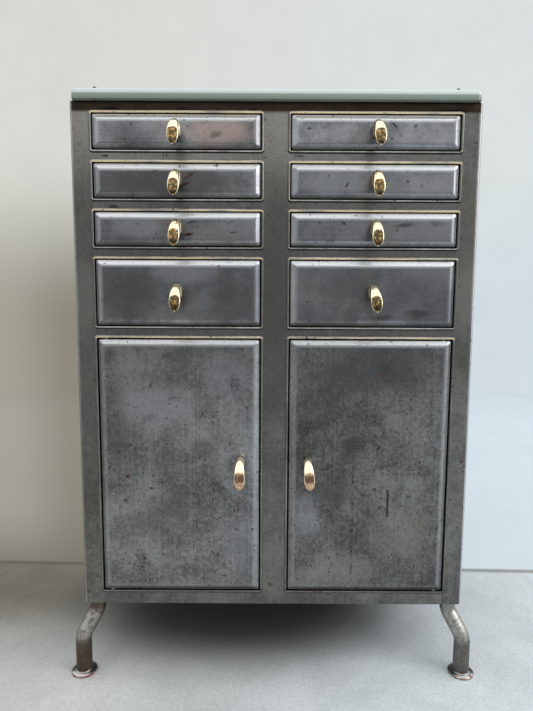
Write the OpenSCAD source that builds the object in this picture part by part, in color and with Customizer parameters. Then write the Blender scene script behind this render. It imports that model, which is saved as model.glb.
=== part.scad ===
// Two-column steel cabinet: eight drawers over two doors, a glass top and bent tube legs.
// Millimetres. Origin at the middle of the footprint on the floor, +Z up, front towards -Y.

/* [Body] */
// Width of the body
body_w = 706; // [640:2:780]
// Depth of the body, front plane to back plane
body_d = 360; // [340:5:460]
// Height of the body without legs and glass
body_h = 900; // [860:2:980]
// Thickness of the body sheet
sheet = 1.2; // [0.8:0.1:2]
// Outer radius of the folded front corners
corner_r = 9; // [4:0.5:9.5]
// Width of the folds at the back that hold the back sheet
back_fold = 14; // [8:1:20]

/* [Face frame] */
// Width of the outer stiles
side_stile_w = 38; // [32:1:45]
// Width of the centre stile
centre_stile_w = 50; // [40:1:64]
// Height of the top rail
top_rail_h = 20; // [14:0.5:24]
// Height of the rails between openings
cross_rail_h = 21; // [18:0.5:26]
// Height of the bottom rail
bottom_rail_h = 26.5; // [22:0.5:36]
// Depth of the folds round the openings
flange_d = 10; // [10:0.5:12]
// Width of the raised bead round each opening
bead_w = 5; // [3:0.5:6]
// Height of the bead above the frame
bead_h = 2.5; // [2:0.1:3.5]
// Radius inside a corner of the bead
bead_corner_r = 1; // [0.5:0.5:2]

/* [Drawers] */
// Opening height of the three upper drawers
shallow_h = 60.5; // [56:0.5:66]
// Opening height of the lowest drawer
deep_h = 117.5; // [100:0.5:140]
// Length of the drawer boxes
box_len = 312; // [240:1:318]
// Thickness of the drawer box sheet
box_sheet = 1; // [0.8:0.1:1.5]
// Gap between a drawer box and each side of its opening
box_side_gap = 2; // [1:0.5:4]
// Height left free over the walls of a drawer box
box_headroom = 14; // [6:1:24]
// Gap round a drawer front in its opening
front_gap = 1.5; // [1:0.1:2.5]
// Depth of the drawer front pan behind the frame
front_pan_d = 12; // [11:0.5:16]
// Width of the flat flange round a drawer front or door
front_flange = 1.5; // [1:0.5:4]
// Width of the sloping bevel inside the flange
bevel_w = 6.5; // [5:0.5:10]
// How far the raised field stands in front of the frame
bevel_d = 4.5; // [4:0.5:8]

/* [Runners] */
// Width of a runner's ledge
runner_w = 12; // [8:1:18]
// Height of a runner's web
runner_h = 15; // [8:1:20]
// Thickness of a runner
runner_t = 1.5; // [1:0.1:1.5]
// Running gap under a drawer box
run_gap = 0.2; // [0.1:0.05:0.3]

/* [Doors] */
// Gap round a door in its opening
door_gap = 2; // [1.8:0.1:3]
// Depth of the door pan behind the frame
door_pan_d = 14; // [13:0.5:20]
// Radius of the pivot pins
pin_r = 2.5; // [2:0.1:3]
// Radial clearance of a pin in its lug
pin_fit = 0.05; // [0.02:0.01:0.1]
// Distance of the pin from the door's outer edge
pin_inset = 13; // [12:0.5:14]
// Distance of the pin behind the frame's face
pin_back = 5; // [4.5:0.5:5.5]
// Thickness of a pivot lug
lug_t = 4; // [3:0.5:6]
// Width of a pivot lug
lug_w = 16; // [12:1:20]
// Height of the pivot block inside the door
pivot_block_h = 8; // [5:1:14]
// Size of the door catch, width and height
catch_size = 16; // [12:1:24]
// Distance of the catch from the centre stile
catch_inset = 26; // [18:1:60]
// Gap between a catch or its nose and the door
catch_gap = 0.3; // [0.2:0.1:0.5]

/* [Shelves] */
// Height of the shelf above the floor sheet
shelf_z = 235; // [120:5:330]
// Distance of the shelf's front edge behind the frame
shelf_setback = 35; // [24:1:90]
// Height of the folds along the shelf's front and back
shelf_lip = 12; // [8:1:20]
// Gap at each end of the shelf
shelf_gap = 0.3; // [0.2:0.1:0.5]
// Leg length of the angle cleats under the shelf
cleat_w = 12; // [8:1:20]
// Thickness of the cleats
cleat_t = 1.5; // [1:0.1:3]

/* [Pulls] */
// Height of a drawer pull
pull_h = 47; // [36:1:52]
// Height of a door pull
door_pull_h = 52; // [36:1:60]
// Reach of a pull in front of the raised field
pull_reach = 40; // [34:1:46]
// Width of a pull at its widest
pull_w = 19.5; // [14:0.5:24]
// Thickness of a pull's leaf
pull_t = 5; // [3.5:0.5:6]
// How far a drawer pull sits under the middle of its front
pull_drop = 8.5; // [0:0.5:10]
// How far a door pull sits under the middle of its door
door_pull_drop = 1.5; // [-20:0.5:20]
// Distance of a door pull from the door's free edge
door_pull_inset = 34; // [26:1:60]
// Radius of a pull's stud
stud_r = 2; // [1.5:0.1:2.5]

/* [Glass top] */
// Thickness of the glass
glass_t = 19; // [10:1:24]
// How far the glass stays in from each side of the body
glass_inset = 7; // [0:0.5:8]
// Overhang of the glass at the front
glass_overhang = 10; // [0:1:20]
// Radius of the glass's upright corners and of its upper edge
glass_edge_r = 8; // [3:0.5:9]
// Distance of the cap screws from the sides of the glass
screw_side_inset = 37; // [26:1:60]
// Distance of the cap screws behind the sheet of the frame
screw_back = 5.6; // [5.5:0.1:6]
// Radius of a cap screw's head
screw_head_r = 3.5; // [3.5:0.5:7]
// Height of a cap screw's head
screw_head_h = 6; // [4:0.5:8]
// Radius of a cap screw's shank
screw_r = 2; // [1.5:0.1:2.5]

/* [Legs] */
// Height of the body above the floor
leg_h = 130; // [122:1:180]
// Outer radius of the leg tube
tube_r = 14.5; // [10:0.5:15]
// Wall of the leg tube
tube_wall = 1.6; // [1:0.1:3]
// Distance of a leg's centre from the body's front and back
leg_inset = 15; // [15:1:22]
// Distance of a leg's centre from the body's side
leg_side_inset = 22; // [15:1:26]
// How far a foot stands out from its leg's top, measured in plan
leg_run = 32; // [24:1:38]
// Radius of the two bends, along the tube's centre line
bend_r = 30; // [20:1:34]
// Straight length over the upper bend
leg_stub = 5; // [3:1:8]
// Height of the lower bend's end above the floor
elbow_z = 62; // [40:1:64]
// Radius of a foot disc
foot_r = 23.5; // [20:0.5:32]
// Thickness of a foot disc
foot_t = 6; // [5:0.5:12]
// Length of the gusset plates that carry the legs
gusset_w = 56; // [44:1:80]
// Thickness of the gusset plates
gusset_t = 4; // [3:0.5:6]

/* [Hidden] */
$fn = 48;
LEFT = -1;
RIGHT = 1;
SIDES = [LEFT, RIGHT];
FRONT = -1;
REAR = 1;
ENDS = [FRONT, REAR];
ROWS = [0, 1, 2, 3];
LAST_ROW = 3;
// How far a cut runs past a face, and the play of holes, ledges and collars.
CUT = 1;
HOLE_PLAY = 0.1;
LEDGE_PLAY = 0.2;
GLASS_PLAY = 0.3;
RAIL_PLAY = 0.5;

function side_name(side) = side == LEFT ? "left" : "right";
function end_name(end) = end == FRONT ? "front" : "rear";
function drawer_name(side, row) = str("drawer_", side_name(side), "_", row + 1);
function door_name(side) = str("door_", side_name(side));
function leg_name(end, side) = str("leg_", end_name(end), "_", side_name(side));

// Spine of a pull from its foot on the front to its tip. Each station gives its distance out as
// a share of the reach, its height as a share of the pull's height, its width as a share of the
// full width and its thickness as a share of the leaf's thickness.
PULL_SPINE = [
    [0, 0.043, 0.7, 2],
    [0.075, 0.068, 0.72, 1.5],
    [0.12, 0.17, 0.72, 1.3],
    [0.14, 0.3, 0.72, 1.1],
    [0.19, 0.415, 0.64, 1.04],
    [0.31, 0.456, 0.5, 0.98],
    [0.47, 0.438, 0.52, 0.94],
    [0.645, 0.35, 0.66, 0.9],
    [0.79, 0.205, 0.82, 0.9],
    [0.887, 0.032, 0.94, 0.9],
    [0.94, -0.17, 1, 0.88],
    [0.97, -0.34, 0.82, 0.78],
    [0.975, -0.443, 0.5, 0.55],
    [0.97, -0.489, 0.16, 0.3]
];
PULL_SIDES = 12;
BEAD_STEPS = 6;
TUBE_SIDES = 20;
BEND_STEPS = 4;

// Plan: half width, and the front and back planes of the body.
half_w = body_w / 2;
leg_splay = leg_run * cos(45);
foot_reach = leg_splay + foot_r - leg_inset;
pull_front = max([for (h = [pull_h, door_pull_h], i = [0 : len(PULL_SPINE) - 1])
    for (point = pull_ring(i, h)) -point[1]]);
front_reach = max(bevel_d + pull_front, glass_overhang, foot_reach);
front_y = front_reach - (front_reach + body_d + foot_reach) / 2;
back_y = front_y + body_d;
deck_front_y = front_y + flange_d;
inner_back_y = back_y - 2 * sheet;

// Heights: the body and the openings of the face frame.
base_z = leg_h;
top_z = leg_h + body_h;
door_open_z = base_z + bottom_rail_h;

function row_h(row) = row == LAST_ROW ? deep_h : shallow_h;
function open_top(row) = row == 0
    ? top_z - top_rail_h
    : open_bottom(row - 1) - cross_rail_h;
function open_bottom(row) = open_top(row) - row_h(row);

door_top_z = open_bottom(LAST_ROW) - cross_rail_h;
open_w = half_w - side_stile_w - centre_stile_w / 2;
column_x = (centre_stile_w + open_w) / 2;

// Drawers and doors in their openings.
ledge_z = LEDGE_PLAY + runner_t;
box_lift = ledge_z + run_gap;
front_w = open_w - 2 * front_gap;
field_y = front_y - bevel_d;
bevel_shift = sheet * tan(atan2(bevel_d, bevel_w) / 2);
door_w = open_w - 2 * door_gap;
door_h = door_top_z - door_open_z - 2 * door_gap;
door_back_y = front_y + door_pan_d;
pin_x = half_w - side_stile_w - door_gap - pin_inset;
pin_y = front_y + pin_back;
collar_r = 1.8 * pin_r;
door_pull_x = centre_stile_w / 2 + door_gap + door_pull_inset;

function front_mid_z(row) = (open_top(row) + open_bottom(row)) / 2;
door_mid_z = (door_top_z + door_open_z) / 2;
door_pull_z = door_mid_z - door_pull_drop;

// Glass and its screws.
glass_w = body_w - 2 * glass_inset;
glass_front_y = front_y - glass_overhang;
screw_x = glass_w / 2 - screw_side_inset;
screw_ys = [front_y + sheet + screw_back, inner_back_y - screw_back - sheet];

// Legs: slope of the straight stretch between the two bends.
leg_drop = leg_h - leg_stub - elbow_z;
leg_slant = sqrt(leg_run * leg_run - 4 * bend_r * leg_run + leg_drop * leg_drop);
leg_slope = atan2(leg_slant, -2 * bend_r) - atan2(leg_drop, leg_run - 2 * bend_r);

shelf_top_z = door_open_z + shelf_z;
shelf_front_y = front_y + shelf_setback;
shelf_back_y = inner_back_y - shelf_gap;

// A box between two corners.
module span(low, high) {
    translate(low) cube(high - low);
}

// Height of a hexagon nut on a thread of radius r, and the nut itself.
function nut_h(r) = 1.6 * r;

module hex_nut(r) {
    cylinder(h = nut_h(r), r = 2 * r, $fn = 6);
}

// The left half's shape moved to either side.
module on_side(side) {
    mirror([side == RIGHT ? 1 : 0, 0, 0]) children();
}

// Triangles that join rings of points, each to the next, and the last to the first if closed.
function ring_faces(rings, sides, closed) =
    [for (i = [0 : rings - (closed ? 1 : 2)], k = [0 : sides - 1])
        let (next = (i + 1) % rings * sides,
             a = i * sides + k,
             b = i * sides + (k + 1) % sides,
             c = next + k,
             d = next + (k + 1) % sides)
        each [[a, c, b], [b, c, d]]];

// ---- body ----

// Plan of a side sheet: back fold, side, rounded corner and outer stile.
module side_plan() {
    corner = [corner_r - half_w, front_y + corner_r];
    translate([-half_w, corner[1]]) square([sheet, back_y - corner[1]]);
    translate([-half_w, back_y - sheet]) square([back_fold, sheet]);
    intersection() {
        translate(corner) difference() {
            circle(corner_r);
            circle(corner_r - sheet);
        }
        translate(corner - [corner_r, corner_r]) square(corner_r);
    }
    translate([corner[0], front_y]) square([side_stile_w - corner_r, sheet]);
}

module side_panel(side) {
    stile_edge = side_stile_w - half_w;
    color("slategray") on_side(side) {
        translate([0, 0, base_z]) linear_extrude(body_h) side_plan();
        span([stile_edge - sheet, front_y, door_open_z],
             [stile_edge, front_y + flange_d, top_z - top_rail_h]);
    }
}

module back_panel() {
    color("dimgray") span([sheet - half_w, inner_back_y, base_z],
                          [half_w - sheet, back_y - sheet, top_z]);
}

// A flat sheet that fills the body's plan behind the face frame.
module deck(z) {
    span([sheet - half_w, deck_front_y, z], [half_w - sheet, inner_back_y, z + sheet]);
}

module top_deck() {
    color("dimgray") difference() {
        deck(top_z - sheet);
        screw_holes(screw_r + HOLE_PLAY);
    }
}

module floor_sheet() {
    color("dimgray") deck(door_open_z - sheet);
}

module dust_sheets() {
    color("dimgray") for (side = SIDES) on_side(side)
        span([sheet - half_w, deck_front_y, door_top_z],
             [-sheet / 2, inner_back_y, door_top_z + sheet]);
}

module centre_partition() {
    color("dimgray") {
        span([-sheet / 2, deck_front_y, door_open_z], [sheet / 2, inner_back_y, top_z - sheet]);
        span([-sheet / 2, front_y + sheet, door_open_z],
             [sheet / 2, deck_front_y, top_z - top_rail_h]);
    }
}

// ---- face frame ----

module stile_centre() {
    edge = centre_stile_w / 2;
    bottom = door_open_z;
    top = top_z - top_rail_h;
    color("slategray") {
        span([-edge, front_y, bottom], [edge, front_y + sheet, top]);
        span([-edge, front_y, bottom], [sheet - edge, front_y + flange_d, top]);
        span([edge - sheet, front_y, bottom], [edge, front_y + flange_d, top]);
    }
}

module rail_top() {
    edge = half_w - side_stile_w;
    tab_edge = half_w - corner_r;
    color("slategray") difference() {
        union() {
            span([-edge, front_y, top_z - top_rail_h], [edge, front_y + sheet, top_z]);
            span([-edge, front_y, top_z - top_rail_h],
                 [edge, front_y + flange_d, top_z - top_rail_h + sheet]);
            span([-tab_edge, front_y + sheet, top_z - sheet], [tab_edge, deck_front_y, top_z]);
        }
        screw_holes(screw_r + HOLE_PLAY);
    }
}

module rail_bottom() {
    edge = half_w - side_stile_w;
    color("slategray") difference() {
        union() {
            span([-edge, front_y, base_z], [edge, front_y + sheet, door_open_z]);
            span([-edge, front_y, door_open_z - sheet], [edge, deck_front_y, door_open_z]);
        }
        for (side = SIDES)
            translate([side * pin_x, pin_y, door_open_z - 2 * sheet])
                cylinder(h = 3 * sheet, r = pin_r + RAIL_PLAY);
    }
}

// Channel rail under the drawer opening of a row, in the left column.
module cross_rail(row) {
    outer = side_stile_w - half_w;
    inner = -centre_stile_w / 2;
    top = open_bottom(row);
    bottom = top - cross_rail_h;
    span([outer, front_y, bottom], [inner, front_y + sheet, top]);
    span([outer, front_y, bottom], [inner, front_y + flange_d, bottom + sheet]);
    span([outer, front_y, top - sheet], [inner, front_y + flange_d, top]);
}

module cross_rails() {
    color("slategray") for (side = SIDES, row = ROWS) on_side(side) difference() {
        cross_rail(row);
        if (row == LAST_ROW)
            translate([-pin_x, pin_y, door_top_z - sheet])
                cylinder(h = 3 * sheet, r = pin_r + RAIL_PLAY);
    }
}

// Section of the half-round bead: outwards from the opening's edge, then up from the frame.
function bead_section() =
    [for (turn = [0 : 180 / BEAD_STEPS : 180])
        [bead_w * (1 - cos(turn)) / 2, bead_h * sin(turn)]];

// One bead frame round an opening of the given size, standing on the frame's face.
module bead_frame(w, h) {
    r = bead_corner_r;
    rings = [for (corner = [0 : 3], step = [0 : BEAD_STEPS / 2])
        let (turn = 90 * (corner + 2 * step / BEAD_STEPS),
             side_x = corner == 0 || corner == 3 ? 1 : -1,
             side_y = corner < 2 ? 1 : -1)
        [for (point = bead_section())
            [side_x * (w / 2 - r) + (r + point[0]) * cos(turn),
             side_y * (h / 2 - r) + (r + point[0]) * sin(turn),
             point[1]]]];
    sides = BEAD_STEPS + 1;
    polyhedron([for (ring = rings) each ring], ring_faces(len(rings), sides, true));
}

module opening_beads() {
    door_open_h = door_top_z - door_open_z;
    color("silver") for (side = SIDES) {
        for (row = ROWS)
            translate([side * column_x, front_y, front_mid_z(row)]) rotate([90, 0, 0])
                bead_frame(open_w, row_h(row));
        translate([side * column_x, front_y, door_mid_z]) rotate([90, 0, 0])
            bead_frame(open_w, door_open_h);
    }
}

// ---- drawers ----

// Angle runner on the left of an opening edge at x, with its web behind the frame's fold.
module runner(edge_x, row, inward) {
    web = edge_x - inward * sheet;
    z = open_bottom(row) + ledge_z - runner_t;
    x = [web - inward * runner_t, web, edge_x + inward * runner_w];
    span([min(x[0], x[1]), front_y + sheet, z],
         [max(x[0], x[1]), inner_back_y, z + runner_h]);
    span([min(x[0], x[2]), front_y + front_pan_d + 1, z],
         [max(x[0], x[2]), inner_back_y, z + runner_t]);
}

module runners(side) {
    color("dimgray") on_side(side) for (row = ROWS) {
        runner(side_stile_w - half_w, row, 1);
        runner(-centre_stile_w / 2, row, -1);
    }
}

module drawer_box(side, row) {
    w = open_w - 2 * box_side_gap;
    bottom = open_bottom(row) + box_lift;
    wall_h = open_top(row) - box_headroom - bottom;
    plate_w = front_w - sheet;
    plate_h = open_top(row) - front_gap - sheet / 2 - bottom;
    start_y = front_y + front_pan_d;
    color("gray") translate([side * column_x, start_y, bottom]) difference() {
        union() {
            translate([-w / 2, 0, 0]) cube([w, box_len, wall_h]);
            translate([-plate_w / 2, 0, 0]) cube([plate_w, box_sheet, plate_h]);
        }
        translate([box_sheet - w / 2, box_sheet, box_sheet])
            cube([w - 2 * box_sheet, box_len - 2 * box_sheet, wall_h]);
        translate([0, box_sheet + CUT, stud_z(drawer_pull_z(row), pull_h) - bottom])
            rotate([90, 0, 0])
                cylinder(h = box_sheet + 2 * CUT, r = stud_r + HOLE_PLAY);
    }
}

// Outline of a raised front across its width: flange, bevel and field, inset by a wall.
module front_section(w, back, wall, shift) {
    half = w / 2 - wall;
    step = w / 2 - front_flange - shift;
    field = step - bevel_w;
    depth = bevel_d - wall;
    polygon([
        [-half, back], [-half, wall], [-step, wall], [-field, -depth],
        [field, -depth], [step, wall], [half, wall], [half, back]
    ]);
}

// A raised front as a solid; a wall of zero gives its outside, a sheet's wall its inside.
module raised_solid(w, h, back, wall, shift) {
    intersection() {
        translate([0, 0, -h / 2]) linear_extrude(h) front_section(w, back, wall, shift);
        translate([-w / 2, 0, 0]) rotate([90, 0, 90]) linear_extrude(w)
            mirror([1, -1, 0]) front_section(h, back, wall, shift);
    }
}

module raised_pan(w, h, back) {
    difference() {
        raised_solid(w, h, back, 0, 0);
        raised_solid(w, h, back + CUT, sheet, bevel_shift);
    }
}

// Height of the middle of a pull, and of the stud of a pull h high.
function drawer_pull_z(row) = front_mid_z(row) - pull_drop;
function stud_z(pull_z, h) = pull_z + PULL_SPINE[0][1] * h;

// Hole for a pull's stud through a front and what lies behind it.
module stud_hole(x, z) {
    translate([x, front_y + front_pan_d + door_pan_d, z]) rotate([90, 0, 0])
        cylinder(h = front_pan_d + door_pan_d + 2 * bevel_d, r = stud_r + HOLE_PLAY);
}

module drawer_front(side, row) {
    color("lightslategray") difference() {
        translate([side * column_x, front_y, front_mid_z(row)])
            raised_pan(front_w, row_h(row) - 2 * front_gap, front_pan_d);
        stud_hole(side * column_x, stud_z(drawer_pull_z(row), pull_h));
    }
}

// ---- pulls ----

// Ring of points round one station of the spine of a pull h high.
function pull_ring(i, h) =
    let (s = PULL_SPINE[i],
         before = PULL_SPINE[max(i - 1, 0)],
         after = PULL_SPINE[min(i + 1, len(PULL_SPINE) - 1)],
         out_step = i == 0 ? 1 : (after[0] - before[0]) * pull_reach,
         up_step = i == 0 ? 0 : (after[1] - before[1]) * h,
         size = norm([out_step, up_step]))
    [for (k = [0 : PULL_SIDES - 1])
        let (turn = 360 * k / PULL_SIDES,
             side_x = cos(turn) * s[2] * pull_w / 2,
             lift = sin(turn) * s[3] * pull_t / 2)
        [side_x,
         -(s[0] * pull_reach - lift * up_step / size),
         s[1] * h + lift * out_step / size]];

module pull_body(h) {
    rings = len(PULL_SPINE);
    points = [for (i = [0 : rings - 1]) each pull_ring(i, h)];
    first_cap = [[for (k = [0 : PULL_SIDES - 1]) k]];
    last_cap = [[for (k = [PULL_SIDES - 1 : -1 : 0]) (rings - 1) * PULL_SIDES + k]];
    walls = ring_faces(rings, PULL_SIDES, false);
    polyhedron(points, concat(first_cap, walls, last_cap));
}

// A pull h high on its stud, with a nut behind the inner sheet.
module pull(x, z, h, sheet_back_y) {
    color("goldenrod") {
        translate([x, field_y, z]) pull_body(h);
        translate([x, sheet_back_y + nut_h(stud_r), stud_z(z, h)]) rotate([90, 0, 0]) {
            hex_nut(stud_r);
            translate([0, 0, -CUT])
                cylinder(h = CUT + nut_h(stud_r) + sheet_back_y - field_y + pull_t / 2, r = stud_r);
        }
    }
}

module drawer_pull(side, row) {
    pull(side * column_x, drawer_pull_z(row), pull_h, front_y + front_pan_d + box_sheet);
}

// ---- doors ----

module door_skin(side) {
    color("lightslategray") difference() {
        translate([side * column_x, front_y, door_mid_z])
            raised_pan(door_w, door_h, door_pan_d);
        stud_hole(side * door_pull_x, stud_z(door_pull_z, door_pull_h));
        translate([side * pin_x, pin_y, door_open_z])
            cylinder(h = door_top_z - door_open_z, r = pin_r + HOLE_PLAY);
    }
}

module door_liner(side) {
    color("gray") difference() {
        translate([side * column_x, door_back_y, door_mid_z])
            span([-door_w / 2, 0, -door_h / 2], [door_w / 2, sheet, door_h / 2]);
        stud_hole(side * door_pull_x, stud_z(door_pull_z, door_pull_h));
    }
}

module door_pull(side) {
    pull(side * door_pull_x, door_pull_z, door_pull_h, door_back_y + sheet);
}

// Pivot pin of a door: a block inside the door, the pin and a thrust collar under the door.
module pivot_pin(door_edge_z, up) {
    block_d = flange_d - pin_back - CUT;
    inner_z = door_edge_z - up * sheet;
    tip_z = door_edge_z + up * (door_gap + sheet + lug_t + CUT);
    z = [inner_z - up * pivot_block_h, inner_z];
    translate([0, 0, min(inner_z, tip_z)]) cylinder(h = abs(tip_z - inner_z), r = pin_r);
    span([-lug_w / 2 + CUT, sheet - pin_back + CUT / 2, min(z)],
         [lug_w / 2 - CUT, block_d, max(z)]);
    if (up < 0)
        translate([0, 0, door_edge_z - door_gap + LEDGE_PLAY])
            cylinder(h = door_gap - LEDGE_PLAY, r = collar_r);
}

module door_pins(side) {
    color("silver") translate([side * pin_x, pin_y, 0]) {
        pivot_pin(door_top_z - door_gap, 1);
        pivot_pin(door_open_z + door_gap, -1);
    }
}

// Pivot lugs behind the rails over and under each door.
module hinge_lugs() {
    color("silver") for (side = SIDES, z = [door_top_z + sheet, door_open_z - sheet - lug_t])
        difference() {
            span([side * pin_x - lug_w / 2, front_y + sheet, z],
                 [side * pin_x + lug_w / 2, front_y + flange_d, z + lug_t]);
            translate([side * pin_x, pin_y, z - CUT])
                cylinder(h = lug_t + 2 * CUT, r = pin_r + pin_fit);
        }
}

// Catches under the dust sheets that press on the doors' free edges.
module door_catches() {
    nose_r = 4;
    face_y = door_back_y + sheet + catch_gap;
    color("silver") for (side = SIDES) on_side(side)
        translate([-centre_stile_w / 2 - catch_inset, face_y + nose_r, door_top_z - catch_size]) {
            span([-catch_size / 2, 0, 0], [catch_size / 2, catch_size, catch_size]);
            translate([0, 0, nose_r]) rotate([0, 90, 0])
                translate([0, 0, -catch_size / 4]) cylinder(h = catch_size / 2, r = nose_r);
        }
}

// ---- shelves ----

module shelf(side) {
    outer = sheet - half_w + shelf_gap;
    inner = -sheet / 2 - shelf_gap;
    top = shelf_top_z;
    color("gray") on_side(side) {
        span([outer, shelf_front_y, top - sheet], [inner, shelf_back_y, top]);
        for (y = [shelf_front_y, shelf_back_y - sheet])
            span([outer, y, top - shelf_lip], [inner, y + sheet, top]);
    }
}

// Angle cleats that carry the shelves on the side sheets and the partition.
module shelf_cleats() {
    margin = 5;
    y = [shelf_front_y + sheet + margin, shelf_back_y - sheet - margin];
    z = shelf_top_z - sheet;
    color("dimgray") for (side = SIDES, wall = [[sheet - half_w, 1], [-sheet / 2, -1]])
        on_side(side) {
            x = wall[0];
            ledge = x + wall[1] * cleat_w;
            web = x + wall[1] * cleat_t;
            span([min(x, ledge), y[0], z - cleat_t], [max(x, ledge), y[1], z]);
            span([min(x, web), y[0], z - cleat_w], [max(x, web), y[1], z]);
        }
}

// ---- glass top ----

// Screw holes through the deck, the rail and the glass.
module screw_holes(r) {
    for (x = [-screw_x, screw_x], y = screw_ys)
        translate([x, y, top_z - 2 * sheet]) cylinder(h = glass_t + 3 * sheet, r = r);
}

// A slab with upright corners and an upper edge of one radius.
module soft_slab(w, d, t, r) {
    cut_t = t - r;
    for (x = [r, w - r], y = [r, d - r]) translate([x, y, 0]) {
        cylinder(h = cut_t, r = r);
        translate([0, 0, cut_t]) sphere(r);
    }
    translate([r, 0, 0]) cube([w - 2 * r, d, cut_t]);
    translate([0, r, 0]) cube([w, d - 2 * r, cut_t]);
    translate([r, r, 0]) cube([w - 2 * r, d - 2 * r, t]);
    for (y = [r, d - r])
        translate([r, y, cut_t]) rotate([0, 90, 0]) cylinder(h = w - 2 * r, r = r);
    for (x = [r, w - r])
        translate([x, d - r, cut_t]) rotate([90, 0, 0]) cylinder(h = d - 2 * r, r = r);
}

module glass_top() {
    color([0.72, 0.82, 0.78]) difference() {
        translate([-glass_w / 2, glass_front_y, top_z])
            soft_slab(glass_w, back_y - glass_front_y, glass_t, glass_edge_r);
        screw_holes(screw_r + GLASS_PLAY);
    }
}

// A cap screw on the glass with its shank and its nut under the deck.
module cap_screw() {
    rim_h = 2;
    dome_h = screw_head_h - rim_h;
    dome_r = (screw_head_r * screw_head_r + dome_h * dome_h) / (2 * dome_h);
    cylinder(h = rim_h, r = screw_head_r);
    translate([0, 0, rim_h]) intersection() {
        translate([0, 0, dome_h - dome_r]) sphere(dome_r);
        cylinder(h = dome_h, r = screw_head_r);
    }
    translate([0, 0, -glass_t - sheet - nut_h(screw_r)]) {
        cylinder(h = glass_t + sheet + nut_h(screw_r), r = screw_r);
        hex_nut(screw_r);
    }
}

module top_cap_screws() {
    color("dimgray") for (x = [-screw_x, screw_x], y = screw_ys)
        translate([x, y, top_z + glass_t]) cap_screw();
}

// ---- legs ----

// Centre line of a leg from its top to its foot, bent towards +x: x, z and tilt of the tube.
function leg_line() =
    let (tilts = [for (k = [0 : BEND_STEPS]) leg_slope * k / BEND_STEPS],
         upper_z = leg_h - leg_stub)
    concat(
        [[0, leg_h, 0]],
        [for (a = tilts) [bend_r * (1 - cos(a)), upper_z - bend_r * sin(a), a]],
        [for (k = [BEND_STEPS : -1 : 0])
            let (a = tilts[k])
            [leg_run - bend_r * (1 - cos(a)), elbow_z + bend_r * sin(a), a]],
        [[leg_run, foot_t, 0]]
    );

function tube_ring(station, r) =
    [for (k = [0 : TUBE_SIDES - 1])
        let (turn = 360 * k / TUBE_SIDES, tilt = station[2])
        [station[0] + r * cos(turn) * cos(tilt),
         r * sin(turn),
         station[1] + r * cos(turn) * sin(tilt)]];

// The hollow leg tube: down its outside and back up its bore.
module leg_tube() {
    line = leg_line();
    last = len(line) - 1;
    outside = [for (i = [0 : last]) tube_ring(line[i], tube_r)];
    bore = [for (i = [last : -1 : 0]) tube_ring(line[i], tube_r - tube_wall)];
    rings = concat(outside, bore);
    polyhedron([for (ring = rings) each ring], ring_faces(len(rings), TUBE_SIDES, true));
}

// Plan position of the top of a leg, and the turn of its splay.
function leg_y(end) = end == FRONT ? front_y + leg_inset : back_y - leg_inset;
function leg_turn(end, side) = atan2(end, side);

module leg(end, side) {
    color("gray") translate([side * (half_w - leg_side_inset), leg_y(end), 0])
        rotate([0, 0, leg_turn(end, side)]) leg_tube();
}

module foot_disc() {
    edge_r = foot_t / 4;
    rotate_extrude() polygon([
        [0, 0], [foot_r - edge_r, 0], [foot_r, edge_r], [foot_r, foot_t / 2],
        [foot_r - edge_r, foot_t - edge_r / 2], [foot_r - 2 * edge_r, foot_t], [0, foot_t]
    ]);
}

module foot_discs() {
    color("rosybrown") for (end = ENDS, side = SIDES)
        translate([side * (half_w - leg_side_inset + leg_splay), leg_y(end) + end * leg_splay, 0])
            foot_disc();
}

// Gusset plates in the body's lower corners, cut back at the rounded corner.
module leg_gussets() {
    w = gusset_w;
    color("dimgray") for (end = ENDS, side = SIDES)
        translate([side * (half_w - sheet), end == FRONT ? front_y + sheet : inner_back_y, base_z])
            mirror([side == RIGHT ? 1 : 0, 0, 0]) mirror([0, end == FRONT ? 0 : 1, 0])
                linear_extrude(gusset_t) polygon([
                    [corner_r, 0], [w, 0], [w, w / 2], [w / 2, w], [0, w], [0, corner_r]
                ]);
}

// ---- the parts by name ----

side_panel(LEFT);  // side_panel_left
side_panel(RIGHT);  // side_panel_right
back_panel();
top_deck();
floor_sheet();
dust_sheets();
centre_partition();
stile_centre();
rail_top();
rail_bottom();
cross_rails();
opening_beads();
runners(LEFT);  // runners_left
runners(RIGHT);  // runners_right
shelf(LEFT);  // shelf_left
shelf(RIGHT);  // shelf_right
shelf_cleats();
hinge_lugs();
door_catches();
leg_gussets();
foot_discs();
glass_top();
top_cap_screws();
for (end = ENDS, side = SIDES) {
    leg(end, side);
}
for (side = SIDES, row = ROWS) {
    name = drawer_name(side, row);
    drawer_box(side, row);
    drawer_front(side, row);
    drawer_pull(side, row);
}
for (side = SIDES) {
    name = door_name(side);
    door_skin(side);
    door_liner(side);
    door_pull(side);
    door_pins(side);
}
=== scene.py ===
"""Looks of the two-column steel cabinet: pressed fronts, cast pulls, glass top, bent legs.

Metres, in the part's own frame: +Z up, the front towards -Y, the floor at z = 0.
"""

import math

import bmesh
import bpy
from mathutils import Matrix, Vector, noise


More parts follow.
